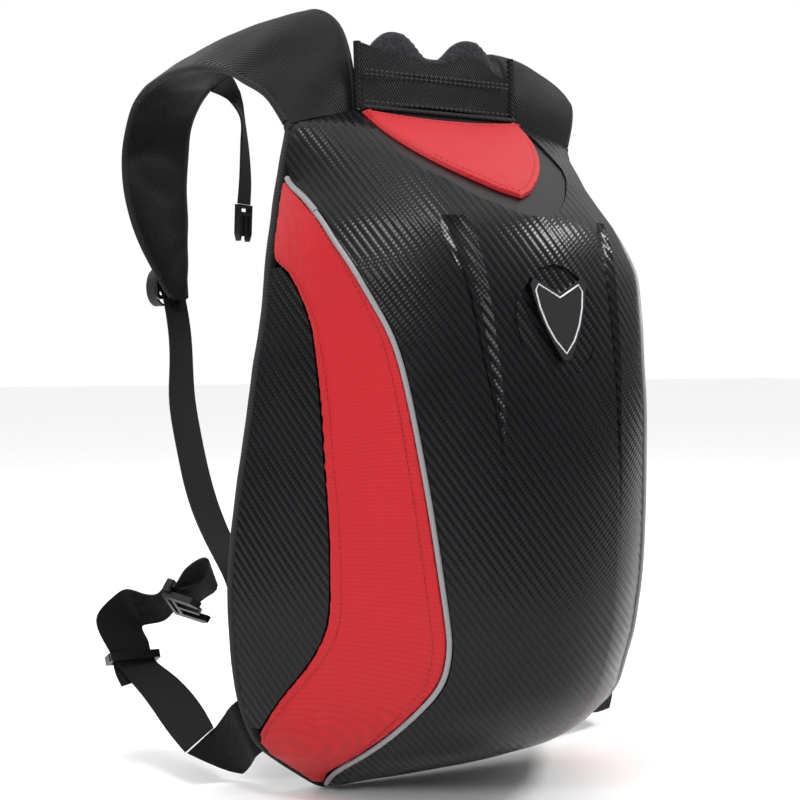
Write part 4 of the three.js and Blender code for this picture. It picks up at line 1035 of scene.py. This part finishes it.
@dataclass
class Flap:
    """Red flap on its facet: a padded sheet with a turned edge and a stitch line."""

    steps: int = 14
    inset: float = 5.0

    def outline(self, inset: float) -> list[tuple[float, float]]:
        """Closed outline of the flap on the facet.

        Args:
            inset: how far it is moved in, in millimetres.

        Returns:
            Its points, in millimetres.
        """
        half = [(x * FLAP_HALF_WIDTH, -down * FLAP_LENGTH) for x, down in FLAP_OUTLINE]
        rows = half + [(0.0, -FLAP_LENGTH)] + [(-x, y) for x, y in reversed(half)]
        points = []
        for k in range(self.steps * (len(rows) - 1) + 1):
            points.append(tuple(rows_at(rows, k / self.steps)))
        for k in range(1, 20):
            t = k / 20
            x = -FLAP_HALF_WIDTH * (1 - 2 * t)
            points.append((x, -4 * FLAP_DIP * t * (1 - t)))
        outline = np.array(points)
        ahead = np.roll(outline, -1, axis=0) - np.roll(outline, 1, axis=0)
        ahead /= np.linalg.norm(ahead, axis=1)[:, None] + 1e-9
        inward = np.c_[-ahead[:, 1], ahead[:, 0]]
        centre = outline.mean(axis=0)
        flip = np.sign(((centre - outline) * inward).sum())
        return [tuple(p) for p in outline + inward * flip * inset]

    def lift(self, inset: np.ndarray) -> np.ndarray:
        """Height over the facet, with a turned edge, a stitch line and a soft crown.

        Args:
            inset: distances from the edge, in millimetres.

        Returns:
            The heights, in millimetres.
        """
        turned = 2.9 * np.sqrt(1 - (1 - np.clip(inset / 2.2, 0, 1)) ** 2)
        crown = 1.3 * np.clip(inset / 26, 0, 1) ** 0.7
        return 0.4 + turned + crown - 0.5 * np.exp(-((inset - self.inset) / 0.9) ** 2)

    def build(self) -> None:
        """Builds the flap as one grid between its two side edges."""
        half = [(x * FLAP_HALF_WIDTH, -down * FLAP_LENGTH) for x, down in FLAP_OUTLINE]
        half.append((0.4, -FLAP_LENGTH))
        curve = np.array([rows_at(half, k / self.steps) for k in range(self.steps * (len(half) - 1) + 1)])
        downs = np.linspace(0, 1, 72) * FLAP_LENGTH
        widths = np.interp(downs, -curve[:, 1], curve[:, 0])
        shares = np.linspace(-1, 1, 61)
        x = widths[:, None] * shares[None, :]
        dip = FLAP_DIP * (1 - shares[None, :] ** 2) * (1 - downs[:, None] / FLAP_LENGTH)
        y = -downs[:, None] - dip
        border = np.array(self.outline(0.0))
        flat = np.stack([x.ravel(), y.ravel()], axis=1)
        inset = np.linalg.norm(flat[:, None, :] - border[None, :, :], axis=2).min(axis=1)
        inset[np.abs(np.tile(shares, len(downs))) > 0.999] = 0
        inset[:len(shares)] = 0
        lifts = self.lift(inset) * np.clip(inset + 0.3, 0, 1)
        points = []
        for (a, b), height, depth in zip(flat, lifts, inset):
            wrinkle = 0.35 * noise.noise(Vector((a, b, 3.0)) / 21) * min(depth / 8, 1)
            points.append(facet_place(a, b, max(height, 0.35) + wrinkle))
        columns = len(shares)
        faces = [(i * columns + j, (i + 1) * columns + j, (i + 1) * columns + j + 1, i * columns + j + 1)
                 for i in range(len(downs) - 1) for j in range(columns - 1)]
        piece = new_object("top_flap_cloth", points, faces, RED)
        thick = piece.modifiers.new("thickness", "SOLIDIFY")
        thick.thickness = 0.3 * MM
        thick.offset = -1.0
        bake_modifiers(piece)
        dress(piece, RED, 60)
        put(piece, ("top_flap",))
        line = [facet_place(a, b, 3.35) for a, b in self.outline(self.inset)]
        put(Seam("top_flap_stitches").build([line + [line[0]]], RED_THREAD))


@dataclass
class Badge:
    """Plain shield with a thin silver outline."""

    half_width: float = 22.0
    half_height: float = 27.0

    def outline(self, share: float) -> list[Vector]:
        """Closed outline on the shield's face.

        Args:
            share: share of the shield's size.

        Returns:
            Its points, in metres.
        """
        x, y = self.half_width * share, self.half_height * share
        corners = [(0, 0.62 * y), (0.86 * x, y), (x, 0.82 * y), (0.9 * x, 0.33 * y), (0.68 * x, -0.2 * y),
                   (0.4 * x, -0.62 * y), (0, -y), (-0.4 * x, -0.62 * y), (-0.68 * x, -0.2 * y),
                   (-0.9 * x, 0.33 * y), (-x, 0.82 * y), (-0.86 * x, y)]
        return [badge_place(a, b, BADGE_THICKNESS + 0.35) for a, b in corners]

    def build(self, nodes: dict) -> None:
        """Dresses the badge and adds its silver line."""
        HardPiece("badge", BADGE_BLACK).dress(nodes["badge"])
        put(tube("badge_line", self.outline(0.84), 0.55, SILVER, corners=8, closed=True))


@dataclass
class Trim:
    """Small finishing pieces that the seams of the pack show.

    Attributes:
        piping_radius: radius of the piping, in millimetres.
        hem_radius: radius of the collar's hem.
    """

    piping_radius: float = 2.1
    hem_radius: float = 1.9

    def build(self) -> None:
        """Adds the collar's hem, its stitch lines and the upper ends of the piping."""
        hem_line = [Vector((x, -21.2, 240.9)) * MM for x in np.linspace(-64.5, 64.5, 24)]
        put(tube("collar_hem", hem_line, self.hem_radius, BINDING, corners=10))
        rows = [[Vector((x, -20.55 + 0.15 * (z - 241) / 5, z)) * MM for x in np.linspace(-62, 62, 40)]
                for z in (245.5, 264.5, 267.5)]
        put(Seam("collar_stitches").build(rows, BLACK_THREAD))
        for label, side in (("left", -1), ("right", 1)):
            end = [side_point(height, 0.0, side) for height in np.linspace(0.69, 0.80, 14)]
            put(tube(f"{label}_piping_end", end, self.piping_radius, TAPE, corners=10))


@dataclass
class Studio:
    """Floor, lights and camera.

    Attributes:
        camera_place: place of the camera, in millimetres.
        camera_aim: point that it looks at, in millimetres.
        lens: its focal length, in millimetres.
        floor_height: height of the floor, in metres.
        floor_reach: half of the floor's side, in metres.
        sky: how much brighter the light is straight above than at the horizon.
        horizon: strength of the light at the horizon.
    """

    camera_place: tuple[float, float, float] = (-586.6, -947.8, 70.0)
    camera_aim: tuple[float, float, float] = (-27.0, -9.0, 35.0)
    lens: float = 68.1
    floor_height: float = -0.2378
    floor_reach: float = 12.0
    sky: float = 1.46
    horizon: float = 0.02

    def build(self) -> None:
        """Sets up the studio."""
        scene = bpy.context.scene
        data = bpy.data.cameras.new("camera")
        data.lens = self.lens
        data.sensor_width = 36.0
        data.clip_end = 50.0
        camera = bpy.data.objects.new("camera", data)
        place, aim = Vector(self.camera_place) * MM, Vector(self.camera_aim) * MM
        camera.location = place
        camera.rotation_euler = (aim - place).to_track_quat("-Z", "Y").to_euler()
        scene.collection.objects.link(camera)
        scene.camera = camera
        self.room(scene)
        scene.view_settings.view_transform = "Standard"
        self.floor()
        self.lamp("key", (1.25, -0.75, 1.35), 24, 0.4)
        self.lamp("top", (-0.7, -0.55, 1.75), 15, 0.4)
        self.lamp("left", (-1.9, -0.75, 0.8), 13, 0.45)
        self.lamp("rear", (-0.6, 2.0, 1.2), 10, 1.0)

    def room(self, scene: bpy.types.Scene) -> None:
        """White backdrop, with light that comes from above and fades towards the horizon.

        Args:
            scene: the scene that gets the backdrop.
        """
        world = bpy.data.worlds.new("studio")
        world.use_nodes = True
        tree = world.node_tree
        tree.nodes.clear()
        way = add_node(tree, "ShaderNodeTexCoord").outputs["Generated"]
        height = add_node(tree, "ShaderNodeSeparateXYZ", links={"Vector": way}).outputs["Z"]
        up = add_node(tree, "ShaderNodeMath", {"operation": "MAXIMUM"}, {1: 0.0}, {0: height})
        glow = add_node(tree, "ShaderNodeMath", {"operation": "MULTIPLY_ADD"},
                        {1: self.sky, 2: self.horizon}, {0: up.outputs[0]})
        soft = add_node(tree, "ShaderNodeBackground", values={"Color": (1, 1, 1, 1)},
                        links={"Strength": glow.outputs[0]})
        plain = add_node(tree, "ShaderNodeBackground", values={"Color": (1, 1, 1, 1), "Strength": 1.0})
        seen = add_node(tree, "ShaderNodeLightPath").outputs["Is Camera Ray"]
        mix = add_node(tree, "ShaderNodeMixShader",
                       links={0: seen, 1: soft.outputs[0], 2: plain.outputs[0]})
        add_node(tree, "ShaderNodeOutputWorld", links={"Surface": mix.outputs[0]})
        scene.world = world

    def floor(self) -> None:
        """Plain pale floor."""
        size = self.floor_reach
        flat = ((-size, -size), (size, -size), (size, size), (-size, size))
        corners = [(x, y, self.floor_height) for x, y in flat]
        finish = Finish("pale_floor", "fbfbfb", "f4f4f4", 0.9, Pattern.GRAIN, 40.0, 0.01)
        new_object("floor", corners, [(0, 1, 2, 3)], finish)

    def lamp(self, name: str, place: tuple[float, float, float], power: float, size: float) -> None:
        """Soft square light that faces the pack.

        Args:
            name: name of the light.
            place: its place, in metres.
            power: its power, in watts.
            size: its side, in metres.
        """
        data = bpy.data.lights.new(name, "AREA")
        data.energy = power
        data.size = size
        lamp = bpy.data.objects.new(name, data)
        lamp.location = place
        lamp.rotation_euler = (Vector((0, 0, 0.03)) - Vector(place)).to_track_quat("-Z", "Y").to_euler()
        bpy.context.scene.collection.objects.link(lamp)


def main() -> None:
    """Builds every piece in order."""
    logging.basicConfig(level=logging.INFO, format="%(message)s")
    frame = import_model()
    nodes = frame["nodes"]
    Studio().build()
    hard = {
        "front_shell": SHELL, "left_side_panel": SHELL, "right_side_panel": SHELL, "flap_surround": BORDER,
        "left_adjuster": ACETAL, "right_adjuster": ACETAL, "left_belt_slider": ACETAL,
        "right_belt_slider": ACETAL,
        "chest_buckle_plug": ACETAL, "chest_buckle_socket": ACETAL, "belt_buckle_plug": ACETAL,
        "belt_buckle_socket": ACETAL,
    }
    for name, finish in hard.items():
        HardPiece(name, finish).dress(nodes[name])
    Badge().build(nodes)
    Flap().build()
    for label, side, rows in (("left", -1, LEFT_STRAP), ("right", 1, RIGHT_STRAP)):
        SoftCopy(f"{label}_red_panel", RED, "red", voxel=1.5, ripple=0.5, wave=34.0, cut_width=100.0,
                 held="stretched").build(nodes[f"{label}_red_panel"])
        SoftCopy(f"{label}_piping", TAPE, "piping", levels=1).build(nodes[f"{label}_piping"])
        SidePanel(label, side).build()
        ShoulderStrap(label, rows, side).build()
        for piece, width in (("strap_tail", 20), ("tail_end", 20), ("chest_strap", 20), ("belt_root", 30),
                             ("belt", 30), ("belt_end", 30)):
            strip = SoftCopy(f"{label}_{piece}", WEBBING, "webbing", cut_width=width)
            strip.build(nodes[f"{label}_{piece}"])
    BackPad().build(nodes["back_panel"])
    Trim().build()
    SoftCopy("collar", RIBBED, "fabric", ripple=0.6, wave=20.0).build(nodes["collar"])
    SoftCopy("collar_facing", RIBBED, "fabric", levels=1).build(nodes["collar_facing"])
    binding = SoftCopy("edge_binding", BINDING, "fabric", levels=2, ripple=0.3, wave=18.0)
    binding.build(nodes["edge_binding"])


if __name__ == "__main__":
    main()
